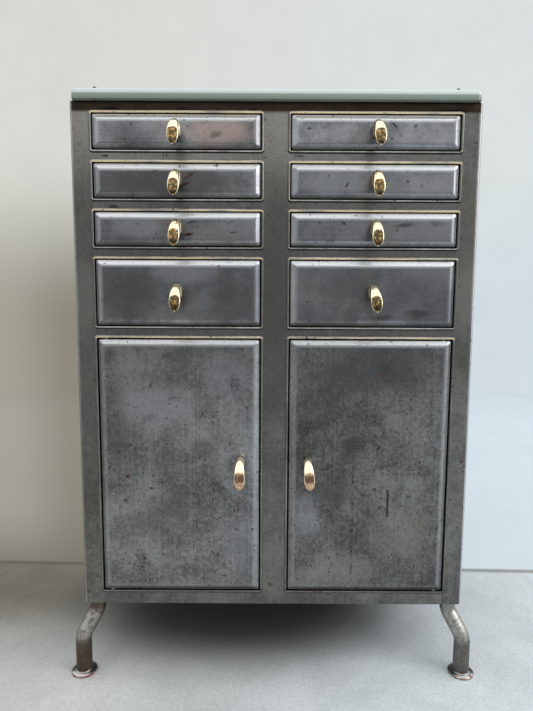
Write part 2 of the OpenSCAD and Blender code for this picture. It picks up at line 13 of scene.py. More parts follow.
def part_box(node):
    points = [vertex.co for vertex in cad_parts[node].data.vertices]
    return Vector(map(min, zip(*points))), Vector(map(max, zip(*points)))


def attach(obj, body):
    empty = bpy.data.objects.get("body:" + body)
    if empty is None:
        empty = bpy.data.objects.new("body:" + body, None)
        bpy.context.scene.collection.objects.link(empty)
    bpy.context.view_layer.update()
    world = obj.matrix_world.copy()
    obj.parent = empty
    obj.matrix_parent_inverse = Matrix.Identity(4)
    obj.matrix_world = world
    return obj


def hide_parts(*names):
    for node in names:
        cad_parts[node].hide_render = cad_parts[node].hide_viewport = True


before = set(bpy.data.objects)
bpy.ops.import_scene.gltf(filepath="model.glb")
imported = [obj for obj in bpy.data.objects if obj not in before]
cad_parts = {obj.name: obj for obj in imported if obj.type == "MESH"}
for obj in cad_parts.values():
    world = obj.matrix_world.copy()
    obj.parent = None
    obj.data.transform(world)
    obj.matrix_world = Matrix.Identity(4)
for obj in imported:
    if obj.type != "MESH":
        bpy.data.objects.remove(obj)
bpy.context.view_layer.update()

MM = 0.001
COLUMNS = ("left", "right")
ROWS = (1, 2, 3, 4)
CORNERS = [(end, side) for end in ("front", "rear") for side in COLUMNS]

# ---- sizes that the solids already have ----

frame_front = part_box("stile_centre")[0].y
body_low, body_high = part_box("side_panel_left")[0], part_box("side_panel_right")[1]
body_middle = (body_low + body_high) / 2

SHEET = 1.2 * MM
FRONT_FLANGE = 1.5 * MM
BEVEL_WIDTH = 6.5 * MM
BEVEL_RISE = 4.5 * MM
LEG_RADIUS = 14.5 * MM
LEG_WALL = 1.6 * MM
LEG_INSET = 15 * MM
LEG_SIDE_INSET = 22 * MM
LEG_RUN = 32 * MM
LEG_STUB = 5 * MM
LEG_BEND = 30 * MM
LEG_ELBOW = 62 * MM
FOOT_RADIUS = 23.5 * MM
HEAD_RADIUS = 3.5 * MM
HEAD_HEIGHT = 6 * MM
SHANK_RADIUS = 2 * MM

# ---- the eye ----

EYE_FROM_FRONT = 0.945
EYE_HEIGHT = 0.698
EYE_SIDE = -0.0146
EYE_PITCH = math.radians(6.1)
EYE_ROLL = math.radians(0.3)
EYE_LENS = 27.04
EYE_FILM = 36.0


def place_eye():
    """The camera, level with the lowest drawers and tipped down a little."""
    data = bpy.data.cameras.new("eye")
    data.lens = EYE_LENS
    data.sensor_width = EYE_FILM
    data.sensor_fit = "AUTO"
    eye = bpy.data.objects.new("eye", data)
    place = Vector((EYE_SIDE, frame_front - EYE_FROM_FRONT, EYE_HEIGHT))
    tip = Matrix.Rotation(math.pi / 2 - EYE_PITCH, 4, "X")
    roll = Matrix.Rotation(EYE_ROLL, 4, "Z")
    eye.matrix_world = Matrix.Translation(place) @ tip @ roll
    bpy.context.scene.collection.objects.link(eye)
    bpy.context.scene.camera = eye


# ---- materials ----


class Nodes:
    """A node tree under construction: makes nodes and joins them up."""

    def __init__(self, tree):
        self.tree = tree

    def node(self, kind, inputs=(), **settings):
        made = self.tree.nodes.new(kind)
        for key, value in settings.items():
            setattr(made, key, value)
        for key, value in dict(inputs).items():
            self.feed(made.inputs[key], value)
        return made

    def feed(self, socket, value):
        """Links an output to a socket, or writes a plain number or colour into it."""
        if isinstance(value, bpy.types.NodeSocket):
            self.tree.links.new(value, socket)
        elif socket.type == "RGBA":
            socket.default_value = (*value[:3], 1.0)
        else:
            socket.default_value = value

    def result(self, kind, inputs=(), **settings):
        """What a new node gives at its first output."""
        return self.node(kind, inputs, **settings).outputs[0]

    def math(self, operation, a, b=0.0):
        return self.result("ShaderNodeMath", {0: a, 1: b}, operation=operation)

    def plus(self, a, b):
        return self.math("ADD", a, b)

    def minus(self, a, b):
        return self.math("SUBTRACT", a, b)

    def times(self, a, b):
        return self.math("MULTIPLY", a, b)

    def over(self, a, b):
        return self.math("DIVIDE", a, b)

    def most(self, a, b):
        return self.math("MAXIMUM", a, b)

    def length(self, a, b):
        return self.math("SQRT", self.plus(self.times(a, a), self.times(b, b)))

    def between(self, value, low, high, to_low=0.0, to_high=1.0):
        """A smooth step of a value from low to high."""
        inputs = {"Value": value, "From Min": low, "From Max": high, "To Min": to_low, "To Max": to_high}
        made = self.node("ShaderNodeMapRange", inputs, interpolation_type="SMOOTHSTEP")
        return made.outputs["Result"]


class Finish(Nodes):
    """A material under construction, with its patterns on the piece's own coordinates."""

    def __init__(self, name):
        self.material = bpy.data.materials.new(name)
        self.material.use_nodes = True
        super().__init__(self.material.node_tree)
        self.shader = self.tree.nodes["Principled BSDF"]
        self.place = self.node("ShaderNodeTexCoord").outputs["Object"]

    def set(self, **values):
        for name, value in values.items():
            self.feed(self.shader.inputs[name.replace("_", " ")], value)

    def stretched(self, scales):
        """The piece's own coordinates, scaled across X, Y and Z."""
        made = self.node("ShaderNodeVectorMath", {0: self.place, 1: scales}, operation="MULTIPLY")
        return made.outputs["Vector"]

    def noise(self, scale, seed=0.0, detail=4.0, roughness=0.55, swirl=0.0, stretch=None):
        inputs = {
            "Vector": self.stretched(stretch) if stretch else self.place,
            "W": seed,
            "Scale": scale,
            "Detail": detail,
            "Roughness": roughness,
            "Distortion": swirl,
        }
        made = self.node("ShaderNodeTexNoise", inputs, noise_dimensions="4D")
        return made.outputs["Fac"]

    def mix(self, share, a, b):
        """A colour between a and b, as b as the share says."""
        made = self.node("ShaderNodeMix", data_type="RGBA")
        self.feed(made.inputs["Factor"], share)
        self.feed(made.inputs[6], a)
        self.feed(made.inputs[7], b)
        return made.outputs[2]

    def blend(self, share, a, b):
        """A number between a and b, as b as the share says."""
        made = self.node("ShaderNodeMix", data_type="FLOAT")
        self.feed(made.inputs["Factor"], share)
        self.feed(made.inputs[2], a)
        self.feed(made.inputs[3], b)
        return made.outputs[0]

    def dots(self, scale, seed, share, size):
        """Mask of small ragged dots: share is how many cells hold one, size their radius in cells."""
        shaking = {"Vector": self.place, "W": seed, "Scale": 3 * scale, "Detail": 2}
        shake = self.node("ShaderNodeTexNoise", shaking, noise_dimensions="4D").outputs["Color"]
        moving = {0: shake, 1: (1.4 / scale,) * 3, 2: self.place}
        moved = self.node("ShaderNodeVectorMath", moving, operation="MULTIPLY_ADD").outputs["Vector"]
        celled = {"Vector": moved, "W": seed, "Scale": scale}
        cells = self.node("ShaderNodeTexVoronoi", celled, voronoi_dimensions="4D").outputs
        chance = self.node("ShaderNodeSeparateColor", {"Color": cells["Color"]}).outputs["Red"]
        spot = self.between(cells["Distance"], size, 0.7 * size)
        return self.times(spot, self.math("LESS_THAN", chance, share))

    def facing(self, name):
        """How far the surface faces along an axis."""
        normal = self.node("ShaderNodeNewGeometry").outputs["Normal"]
        return self.node("ShaderNodeSeparateXYZ", {"Vector": normal}).outputs[name]

    def axis(self, name):
        """The place along an axis of the piece."""
        return self.node("ShaderNodeSeparateXYZ", {"Vector": self.place}).outputs[name]

    def attribute(self, name):
        return self.node("ShaderNodeAttribute", attribute_name=name).outputs["Fac"]

    def bump(self, height, strength, distance, under=None):
        inputs = {"Height": height, "Strength": strength, "Distance": distance}
        if under is not None:
            inputs["Normal"] = under
        return self.node("ShaderNodeBump", inputs).outputs["Normal"]


RUST = (0.062, 0.034, 0.023)
RUSTED = (0.065, 0.03, 0.02)
PIT = (0.03, 0.028, 0.027)
BLACK = (0.008, 0.007, 0.007)
# Dark grey for painted shade: the pans' bottom edges, their sides in the gaps, and where the beads meet the
# frame.
PAINTED_SHADE_GREY = (0.055, 0.052, 0.048)
# Bright steel for the painted highlight, partly wear, on bevels and front corners.
WORN_HIGHLIGHT_STEEL = (0.62, 0.635, 0.65)


def steel(
    name, light, dark, warm, seed, brush, pits, rust, rough, wear_highlight=1.0, fine=0.0, nests=(), marks=None
):
    """Bare sheet steel: cloudy patina, brush lines along one way, pits, rust dots, and bright edges that are
    a painted highlight, partly wear.

    light, dark and warm are its colours; brush scales the brush lines across X, Y and Z; pits and
    rust are how much of either there is; rough is the roughness where it is light and where it is
    dark; the share after rough is how bright the painted highlight, partly wear, is on its edges;
    fine moves the unevenness from wide clouds to small mottle; nests are places (x, z, across, up)
    where pits crowd; marks(f, colour) adds what this piece alone has and returns the colour and a
    mask of what is spoiled.
    """
    f = Finish(name)
    clouds = f.between(f.noise(6.5, seed, 5, 0.55, 0.6), 0.36, 0.64)
    drifts = f.between(f.noise(24, seed + 1, 6, 0.65, 0.4), 0.34, 0.68)
    mottle = f.between(f.noise(130, seed + 2, 8, 0.75), 0.3, 0.7)
    grain = f.between(f.noise(620, seed + 3, 3, 0.7), 0.3, 0.7)
    lines = f.noise(1.0, seed + 4, 3, 0.6, stretch=brush)
    wide, small = 0.56 - fine, 0.33 + fine
    shares = [
        (clouds, 0.6 * wide),
        (drifts, 0.4 * wide),
        (mottle, 0.55 * small),
        (grain, 0.45 * small),
        (f.between(lines, 0.25, 0.75), 0.11),
    ]
    tone = 0.0
    for layer, share in shares:
        tone = f.plus(f.times(layer, share), tone)
    tone = f.between(tone, 0.2, 0.8)
    colour = f.mix(tone, dark, light)
    smear = f.between(f.noise(9, seed + 5, 3, 0.5, 1.2), 0.5, 0.72)
    colour = f.mix(f.times(smear, 0.5 - fine), colour, warm)

    crowd = f.between(f.noise(13, seed + 6, 3, 0.55), 0.5, 0.68)
    for place in nests:
        crowd = f.most(crowd, smudge(f, *place))
    few = f.between(crowd, 0.0, 1.0, 0.10 * pits, 0.34 * pits)
    specks = f.times(f.dots(460, seed + 7, few, 0.52), 0.8)
    blots = f.dots(190, seed + 8, f.times(few, 0.6), 0.44)
    pitted = f.most(specks, blots)
    rusting = f.between(f.noise(8, seed + 9, 2, 0.5), 0.5, 0.68, 0.04, 0.4)
    rusty = f.dots(95, seed + 10, f.times(rusting, rust), 0.36)
    if marks:
        colour, scars = marks(f, colour)
        pitted = f.most(pitted, scars)

    # Painted highlight, partly wear, where the mesh marks bevels and front corners.
    ragged = f.between(f.noise(210, seed + 11, 5, 0.7), 0.3, 0.46, 0.45, 1.0)
    worn = f.times(f.times(f.attribute("wear_highlight"), ragged), wear_highlight)
    colour = f.mix(worn, colour, WORN_HIGHLIGHT_STEEL)
    # Painted shade where the mesh marks it: the pans' bottom edges and their sides in the gaps.
    shade_share = f.attribute("painted_shade")
    colour = f.mix(f.times(pitted, 0.85), colour, PIT)
    colour = f.mix(rusty, colour, RUST)
    colour = f.mix(shade_share, colour, PAINTED_SHADE_GREY)

    spoiled = f.most(f.times(pitted, 0.45), rusty)
    roughness = f.blend(tone, rough[1], rough[0])
    roughness = f.blend(f.times(worn, 0.7), roughness, 0.33)
    roughness = f.blend(spoiled, roughness, 0.8)
    ripple = f.bump(f.noise(11, seed + 12, 2, 0.5), 0.35, 1.2 * MM)
    brushed = f.bump(lines, 0.12, 0.25 * MM, ripple)
    relief = f.minus(f.times(mottle, 0.15), spoiled)
    f.set(
        Base_Color=colour,
        Metallic=f.blend(spoiled, 1.0, 0.15),
        Roughness=roughness,
        Normal=f.bump(relief, 0.35, 0.4 * MM, brushed),
    )
    return f.material


ALONG_X = (3.0, 60.0, 520.0)
ALONG_Z = (520.0, 60.0, 3.0)


def unevenness(f, scale, depth):
    """Noise about zero, to make the edge of a mask ragged."""
    return f.times(f.minus(f.noise(scale, 19.0, 5, 0.7), 0.5), depth)


def smudge(f, x, z, across, up, slope=0.0, uneven=None):
    """Soft uneven mask at a place on the front, across wide and up high, tilted by slope."""
    off = f.minus(f.axis("X"), x)
    rise = f.minus(f.minus(f.axis("Z"), z), f.times(off, slope))
    du, dv = f.over(off, across), f.over(rise, up)
    away = f.length(du, dv)
    return f.between(f.plus(away, uneven or unevenness(f, 30, 0.9)), 1.0, 0.35)


def stains(f, colour, places, flecked=()):
    """The colour with small stains (x, z, across, up, slope, share, tint) on it.

    The ones in flecked are broken up into flecks.
    """
    ragged = f.plus(unevenness(f, 200, 1.6), unevenness(f, 640, 2.6))
    flecks = f.between(f.noise(480, 43.0, 3, 0.65), 0.47, 0.58)
    for group, broken in ((places, 1.0), (flecked, flecks)):
        for x, z, across, up, slope, share, tint in group:
            mask = f.times(smudge(f, x, z, across, up, slope, ragged), broken)
            colour = f.mix(f.times(mask, share), colour, tint)
    return colour


def scar(f, x, low_z, high_z, width, gaps):
    """Mask of an upright scratch at x between two heights, broken up by gaps."""
    wander = f.times(f.minus(f.noise(25, 31.0), 0.5), 4 * MM)
    across = f.math("ABSOLUTE", f.minus(f.plus(f.axis("X"), wander), x))
    line = f.between(across, width, 0.3 * width)
    middle, half = (low_z + high_z) / 2, (high_z - low_z) / 2
    along = f.math("ABSOLUTE", f.minus(f.axis("Z"), middle))
    inside = f.between(along, half, 0.9 * half)
    broken = f.between(f.noise(150, 37.0, 3), gaps, gaps + 0.06)
    return f.times(f.times(line, inside), broken)


def tinted(f, colour, places):
    """The colour with soft patches (x, z, across, up, share, tint) laid over it."""
    for x, z, across, up, share, tint in places:
        colour = f.mix(f.times(smudge(f, x, z, across, up), share), colour, tint)
    return colour


def left_drawer_marks(f, colour):
    """Stains, painted sheen patches and a scratch of the left column's drawers, each at its own place."""
    blush, painted_sheen, soot = (0.47, 0.36, 0.32), (0.36, 0.375, 0.41), (0.10, 0.095, 0.095)
    places = [
        (-0.10, 0.980, 0.075, 0.035, 0.65, blush),
        (-0.26, 0.980, 0.06, 0.035, 0.3, soot),
        (-0.17, 0.898, 0.17, 0.04, 0.8, soot),
        (-0.27, 0.898, 0.08, 0.04, 0.55, soot),
        (-0.24, 0.818, 0.06, 0.025, 0.5, painted_sheen),
        (-0.155, 0.745, 0.07, 0.03, 0.5, painted_sheen),
        (-0.26, 0.70, 0.07, 0.05, 0.5, soot),
        (-0.07, 0.69, 0.06, 0.05, 0.5, soot),
    ]
    small = [
        (-0.1033, 0.9734, 0.012, 0.007, 0.3, 0.8, (0.13, 0.11, 0.11)),
        (-0.1498, 0.987, 0.003, 0.002, 0.3, 0.6, RUSTED),
        (-0.2565, 0.966, 0.002, 0.002, 0.0, 0.8, PIT),
        (-0.147, 0.907, 0.011, 0.004, 0.6, 0.8, RUSTED),
        (-0.1556, 0.892, 0.012, 0.004, 0.35, 0.9, RUSTED),
        (-0.227, 0.919, 0.002, 0.002, 0.0, 0.8, PIT),
        (-0.2015, 0.916, 0.002, 0.002, 0.0, 0.8, PIT),
        (-0.146, 0.828, 0.010, 0.0025, 0.3, 0.7, RUSTED),
        (-0.1503, 0.8076, 0.013, 0.003, 0.15, 0.95, (0.04, 0.018, 0.014)),
        (-0.098, 0.832, 0.0025, 0.0025, 0.0, 0.8, RUSTED),
        (-0.0766, 0.829, 0.010, 0.001, 0.5, 0.6, RUSTED),
        (-0.0724, 0.811, 0.011, 0.002, 0.1, 0.85, (0.05, 0.035, 0.028)),
        (-0.211, 0.801, 0.003, 0.002, -0.3, 0.8, PIT),
    ]
    scratch = scar(f, -0.2795, 0.606, 0.625, 1.0 * MM, 0.2)
    return stains(f, tinted(f, colour, places), small), scratch


def right_drawer_marks(f, colour):
    """Stains and a painted sheen patch of the right column's drawers, each at its own place."""
    painted_sheen, soot = (0.38, 0.40, 0.43), (0.11, 0.11, 0.115)
    places = [
        (0.10, 0.895, 0.09, 0.03, 0.4, painted_sheen),
        (0.13, 0.73, 0.07, 0.05, 0.3, soot),
        (0.26, 0.70, 0.06, 0.05, 0.3, soot),
    ]
    small = [
        (0.067, 1.0003, 0.003, 0.003, 0.0, 0.85, RUSTED),
        (0.0559, 0.985, 0.004, 0.003, 0.0, 0.85, RUSTED),
        (0.1994, 0.992, 0.007, 0.004, -0.8, 0.95, PIT),
        (0.122, 0.892, 0.005, 0.004, 0.9, 0.85, PIT),
        (0.195, 0.919, 0.006, 0.003, 0.2, 0.7, RUSTED),
        (0.2255, 0.8985, 0.003, 0.003, -0.5, 0.85, PIT),
        (0.1787, 0.921, 0.003, 0.003, 0.3, 0.7, PIT),
        (0.0385, 0.895, 0.002, 0.003, 0.0, 0.6, PIT),
        (0.0769, 0.828, 0.003, 0.003, 0.0, 0.7, PIT),
        (0.118, 0.827, 0.004, 0.004, -0.8, 0.9, PIT),
        (0.099, 0.8075, 0.003, 0.002, 0.0, 0.7, PIT),
        (0.225, 0.825, 0.024, 0.005, 0.1, 0.6, PIT),
        (0.276, 0.827, 0.012, 0.006, 0.0, 0.4, PIT),
        (0.210, 0.816, 0.003, 0.003, 0.0, 0.6, PIT),
        (0.19, 0.665, 0.035, 0.006, 0.05, 0.5, PIT),
        (0.25, 0.672, 0.03, 0.010, 0.0, 0.5, PIT),
    ]
    return stains(f, tinted(f, colour, places), small), 0.0


def left_door_marks(f, colour):
    """Stains, flecks and a twin scratch of the left door."""
    haze, soot = (0.32, 0.33, 0.35), (0.115, 0.115, 0.12)
    places = [
        (-0.215, 0.505, 0.10, 0.055, 0.6, haze),
        (-0.09, 0.56, 0.06, 0.06, 0.4, haze),
        (-0.287, 0.48, 0.03, 0.15, 0.45, soot),
        (-0.130, 0.428, 0.028, 0.025, 0.5, soot),
        (-0.235, 0.290, 0.045, 0.035, 0.4, soot),
        (-0.180, 0.318, 0.05, 0.03, 0.35, soot),
        (-0.066, 0.245, 0.04, 0.08, 0.4, haze),
    ]
    small = [
        (-0.2655, 0.376, 0.005, 0.005, 0.3, 0.9, RUSTED),
        (-0.274, 0.367, 0.002, 0.002, 0.0, 0.9, RUSTED),
        (-0.2975, 0.393, 0.002, 0.004, 0.0, 0.8, RUSTED),
        (-0.2224, 0.3535, 0.004, 0.0035, 0.0, 0.9, RUSTED),
        (-0.1026, 0.2272, 0.004, 0.004, 0.0, 0.9, RUSTED),
        (-0.2374, 0.2196, 0.004, 0.004, 0.0, 0.9, RUSTED),
        (-0.0624, 0.454, 0.002, 0.002, 0.0, 1.0, PIT),
        (-0.0648, 0.314, 0.0022, 0.006, 0.0, 0.8, RUSTED),
        (-0.221, 0.543, 0.003, 0.006, 0.3, 0.8, PIT),
        (-0.107, 0.194, 0.008, 0.0016, 1.8, 0.8, PIT),
    ]
    flecked = [
        (-0.106, 0.358, 0.017, 0.015, -0.3, 1.0, PIT),
        (-0.190, 0.597, 0.018, 0.010, 0.2, 1.0, PIT),
        (-0.0716, 0.548, 0.014, 0.020, -0.3, 1.0, PIT),
        (-0.1094, 0.4895, 0.010, 0.012, 0.3, 0.8, PIT),
        (-0.179, 0.520, 0.018, 0.008, 0.0, 0.8, PIT),
        (-0.228, 0.482, 0.016, 0.014, 0.2, 0.8, PIT),
        (-0.243, 0.205, 0.013, 0.042, 0.0, 1.0, (0.045, 0.038, 0.03)),
        (-0.289, 0.600, 0.018, 0.012, 0.0, 0.8, PIT),
        (-0.240, 0.180, 0.05, 0.02, 0.0, 0.7, RUSTED),
    ]
    first = scar(f, -0.1346, 0.29, 0.565, 1.6 * MM, 0.45)
    second = scar(f, -0.1409, 0.27, 0.60, 1.5 * MM, 0.45)
    twin = f.times(f.most(first, second), 0.45)
    return stains(f, tinted(f, colour, places), small, flecked), twin


def right_door_marks(f, colour):
    """Stains, flecks, a crack and a row of dots of the right door."""
    haze, soot = (0.30, 0.31, 0.33), (0.09, 0.09, 0.093)
    places = [
        (0.19, 0.58, 0.13, 0.07, 0.6, soot),
        (0.09, 0.53, 0.06, 0.08, 0.35, soot),
        (0.145, 0.435, 0.035, 0.03, 0.4, soot),
        (0.10, 0.35, 0.05, 0.05, 0.5, soot),
        (0.06, 0.30, 0.03, 0.06, 0.45, haze),
        (0.23, 0.27, 0.08, 0.08, 0.35, (0.28, 0.265, 0.23)),
        (0.12, 0.20, 0.10, 0.045, 0.5, (0.32, 0.31, 0.29)),
    ]
    small = [
        (0.188, 0.430, 0.004, 0.006, 0.6, 0.9, RUSTED),
        (0.165, 0.488, 0.0025, 0.004, 0.0, 0.9, RUSTED),
        (0.198, 0.603, 0.0018, 0.002, 0.0, 0.9, RUSTED),
        (0.2637, 0.4035, 0.004, 0.0025, 0.3, 0.85, RUSTED),
        (0.2543, 0.4005, 0.002, 0.002, 0.0, 0.85, RUSTED),
        (0.0742, 0.322, 0.002, 0.006, 0.0, 0.8, RUSTED),
        (0.2080, 0.335, 0.0022, 0.014, 3.0, 1.0, BLACK),
        (0.2074, 0.313, 0.0018, 0.012, -3.0, 1.0, BLACK),
    ]
    flecked = [
        (0.2144, 0.4005, 0.012, 0.006, 0.25, 1.0, PIT),
        (0.272, 0.387, 0.024, 0.018, 0.1, 1.0, PIT),
        (0.145, 0.437, 0.026, 0.018, 0.1, 0.9, PIT),
        (0.195, 0.397, 0.028, 0.007, 0.1, 1.0, PIT),
        (0.096, 0.394, 0.022, 0.008, 0.3, 1.0, PIT),
        (0.281, 0.500, 0.006, 0.065, 0.0, 0.8, PIT),
        (0.057, 0.586, 0.018, 0.016, 0.3, 0.8, PIT),
        (0.055, 0.467, 0.020, 0.026, 0.1, 0.8, PIT),
        (0.197, 0.578, 0.012, 0.014, 0.0, 0.8, PIT),
        (0.062, 0.210, 0.028, 0.016, -0.1, 0.9, PIT),
        (0.225, 0.345, 0.020, 0.016, 0.5, 0.9, PIT),
        (0.235, 0.200, 0.06, 0.03, 0.0, 0.7, (0.07, 0.058, 0.045)),
    ]
    crack = scar(f, 0.2076, 0.300, 0.354, 3.2 * MM, 0.3)
    dots = scar(f, 0.1435, 0.185, 0.425, 2.7 * MM, 0.5)
    return stains(f, tinted(f, colour, places), small, flecked), f.most(crack, dots)


def frame_marks(f, colour):
    """Paler by the upper drawers, dull patches below, and right under the slab a painted shadow of its
    overhang, partly dark brown rust.
    """
    paler = f.times(f.between(f.axis("Z"), 0.84, 0.99, 0.0, 0.45), f.between(f.axis("X"), 0.25, 0.05))
    pale = f.mix(f.noise(60, 3.0, 5, 0.7), (0.28, 0.265, 0.245), (0.5, 0.475, 0.44))
    places = [
        (-0.335, 0.43, 0.06, 0.22, 0.35, (0.1, 0.1, 0.092)),
        (0.0, 0.43, 0.06, 0.22, 0.35, (0.1, 0.1, 0.092)),
        (0.0, 0.70, 0.035, 0.30, 0.4, (0.105, 0.10, 0.092)),
        (0.0, 0.21, 0.04, 0.10, 0.25, (0.32, 0.32, 0.30)),
        (-0.335, 0.70, 0.03, 0.09, 0.3, (0.4, 0.39, 0.36)),
        (0.335, 0.70, 0.03, 0.09, 0.3, (0.4, 0.39, 0.36)),
    ]
    colour = tinted(f, f.mix(paler, colour, pale), places)
    # Painted shadow of the slab's overhang on the top of the frame, dark brown with rust in it.
    near = f.between(f.axis("Y"), frame_front + 90 * MM, frame_front + 20 * MM, 0.2, 0.97)
    under = f.times(f.between(f.axis("Z"), 1.009, 1.016), near)
    painted_dark_and_stain = f.mix(f.noise(45, 4.0, 4, 0.6), (0.008, 0.005, 0.003), (0.045, 0.028, 0.016))
    colour = f.mix(under, colour, painted_dark_and_stain)
    black = [
        (-0.293, 0.9395, 0.010, 0.0025, 0.0, 0.9, PIT),
        (-0.280, 0.8545, 0.012, 0.004, 0.0, 0.8, PIT),
        (-0.048, 0.8525, 0.006, 0.003, 0.3, 0.8, PIT),
        (0.040, 0.9405, 0.012, 0.0025, 0.0, 0.8, PIT),
        (-0.285, 1.0165, 0.022, 0.004, 0.1, 0.95, BLACK),
        (-0.160, 1.0165, 0.010, 0.003, 0.0, 0.9, BLACK),
        (-0.042, 1.0155, 0.010, 0.004, 0.0, 0.95, BLACK),
        (0.300, 1.0160, 0.030, 0.004, 0.0, 0.9, BLACK),
    ]
    return stains(f, colour, black), scar(f, -0.2795, 0.628, 0.640, 1.0 * MM, 0.2)


def leg_marks(scraped_and_lit, rusted):
    """Marks of a leg: bright on the slope of its bend, partly bare scrapes and partly a painted highlight
    where the slope faces up, and rusty above and below it.
    """

    def marks(f, colour):
        height = f.axis("Z")
        slope = f.times(f.between(height, 0.060, 0.078), f.between(height, 0.122, 0.106))
        # The slope is bright partly from scrapes and partly as a painted highlight, since it faces up.
        bright = f.times(slope, f.between(f.noise(140, 5.0, 5, 0.7), 0.36, 0.52))
        colour = f.mix(f.times(f.minus(1.0, slope), rusted), colour, (0.10, 0.055, 0.038))
        return f.mix(f.times(bright, scraped_and_lit), colour, (0.56, 0.54, 0.5)), 0.0

    return marks


# Where pits crowd on the doors: x, z, across and up.
LEFT_NESTS = [(-0.190, 0.597, 0.03, 0.015), (-0.0716, 0.548, 0.02, 0.03), (-0.25, 0.20, 0.03, 0.04)]
RIGHT_NESTS = [
    (0.26, 0.40, 0.03, 0.03),
    (0.07, 0.46, 0.04, 0.04),
    (0.22, 0.20, 0.07, 0.04),
    (0.11, 0.30, 0.04, 0.05),
]


def make_steels():
    """Every steel of the cabinet, with its colours, its brush lines and its marks."""
    body = {
        "light": (0.225, 0.225, 0.21),
        "dark": (0.1, 0.1, 0.091),
        "warm": (0.165, 0.14, 0.11),
        "brush": ALONG_Z,
        "rust": 0.4,
        "rough": (0.26, 0.42),
        "fine": 0.2,
        "marks": frame_marks,
    }
    drawer = {
        "light": (0.36, 0.366, 0.38),
        "dark": (0.13, 0.131, 0.137),
        "warm": (0.28, 0.23, 0.21),
        "brush": ALONG_X,
        "rust": 0.5,
        "rough": (0.24, 0.38),
    }
    return {
        "frame": steel("frame_steel", seed=11.0, pits=0.9, **body),
        "side": steel("side_steel", seed=17.0, pits=0.8, **body),
        "drawer_left": steel("drawer_steel_left", seed=23.0, pits=0.35, marks=left_drawer_marks, **drawer),
        "drawer_right": steel("drawer_steel_right", seed=29.0, pits=0.45, marks=right_drawer_marks, **drawer),
        "door_left": steel(
            "door_steel_left", (0.335, 0.336, 0.338), (0.1, 0.1, 0.1), (0.26, 0.25, 0.235), 41.0, ALONG_Z,
            pits=0.9, rust=0.8, rough=(0.27, 0.45), wear_highlight=0.75, fine=0.18,
            nests=LEFT_NESTS, marks=left_door_marks,
        ),
        "door_right": steel(
            "door_steel_right", (0.25, 0.248, 0.24), (0.062, 0.061, 0.059), (0.2, 0.19, 0.17), 47.0, ALONG_Z,
            pits=1.1, rust=0.7, rough=(0.28, 0.48), wear_highlight=0.75, fine=0.22,
            nests=RIGHT_NESTS, marks=right_door_marks,
        ),
        "bead": steel(
            "bead_steel", (0.5, 0.495, 0.47), (0.2, 0.195, 0.18), (0.4, 0.33, 0.24), 53.0, ALONG_X,
            pits=0.9, rust=0.5, rough=(0.24, 0.4), marks=bead_marks,
        ),
        "inner": steel(
            "inner_steel", (0.33, 0.33, 0.325), (0.18, 0.18, 0.18), (0.26, 0.22, 0.19), 59.0, ALONG_X,
            pits=0.3, rust=0.3, rough=(0.42, 0.58),
        ),
        "bright": steel(
            "hinge_steel", (0.55, 0.55, 0.55), (0.36, 0.36, 0.36), (0.4, 0.34, 0.28), 61.0, ALONG_Z,
            pits=0.2, rust=0.2, rough=(0.25, 0.4),
        ),
        "leg_left": steel(
            "leg_steel_left", (0.32, 0.31, 0.29), (0.1, 0.09, 0.08), (0.15, 0.09, 0.06), 67.0, ALONG_Z,
            pits=1.0, rust=0.9, rough=(0.26, 0.45), marks=leg_marks(0.5, 0.55),
        ),
        "leg_right": steel(
            "leg_steel_right", (0.36, 0.36, 0.34), (0.15, 0.145, 0.13), (0.2, 0.15, 0.1), 73.0, ALONG_Z,
            pits=1.0, rust=0.9, rough=(0.22, 0.4), marks=leg_marks(0.6, 0.1),
        ),
        "screw": steel(
            "screw_steel", (0.13, 0.13, 0.13), (0.05, 0.05, 0.05), (0.09, 0.07, 0.06), 71.0, ALONG_X,
            pits=0.4, rust=0.3, rough=(0.22, 0.4),
        ),
    }


def bead_marks(f, colour):
    """Darker up the sides as painted shade; under the upper beads a painted brass-coloured reflection, under
    the lower ones a painted black shadow; painted shade where they meet the frame.
    """
    # Painted shade on the side-facing parts and the upright runs.
    upright = f.between(f.math("ABSOLUTE", f.facing("X")), 0.3, 0.75, 0.0, 0.75)
    colour = f.mix(upright, colour, (0.15, 0.15, 0.142))
    colour = f.mix(f.times(f.attribute("upright"), 0.6), colour, (0.11, 0.11, 0.104))
    foot = f.between(f.axis("Y"), frame_front - 1.0 * MM, frame_front - 0.2 * MM, 0.0, 0.7)
    # Under the upper beads a painted brass-coloured reflection, under the lower ones a painted black shadow.
    level = f.minus(1.0, f.most(f.attribute("lower"), f.attribute("upright")))
    brassy = f.times(f.between(f.facing("Z"), 0.3, -0.15, 0.0, 0.9), level)
    under = f.most(brassy, f.between(f.facing("Z"), -0.02, -0.4, 0.0, 0.95))
    gilt = f.between(f.noise(14, 8.0, 3, 0.5, 0.4), 0.32, 0.54)
    brown = f.mix(gilt, (0.42, 0.38, 0.33), (1.0, 0.80, 0.48))
    brown = f.mix(f.attribute("lower"), brown, (0.012, 0.01, 0.008))
    colour = f.mix(under, colour, brown)
    under_door = f.between(f.axis("Z"), 0.166, 0.158, 0.0, 0.85)
    colour = f.mix(under_door, colour, (0.10, 0.095, 0.09))
    # Painted shade where the bead stands on the frame's face.
    return f.mix(foot, colour, PAINTED_SHADE_GREY), 0.0


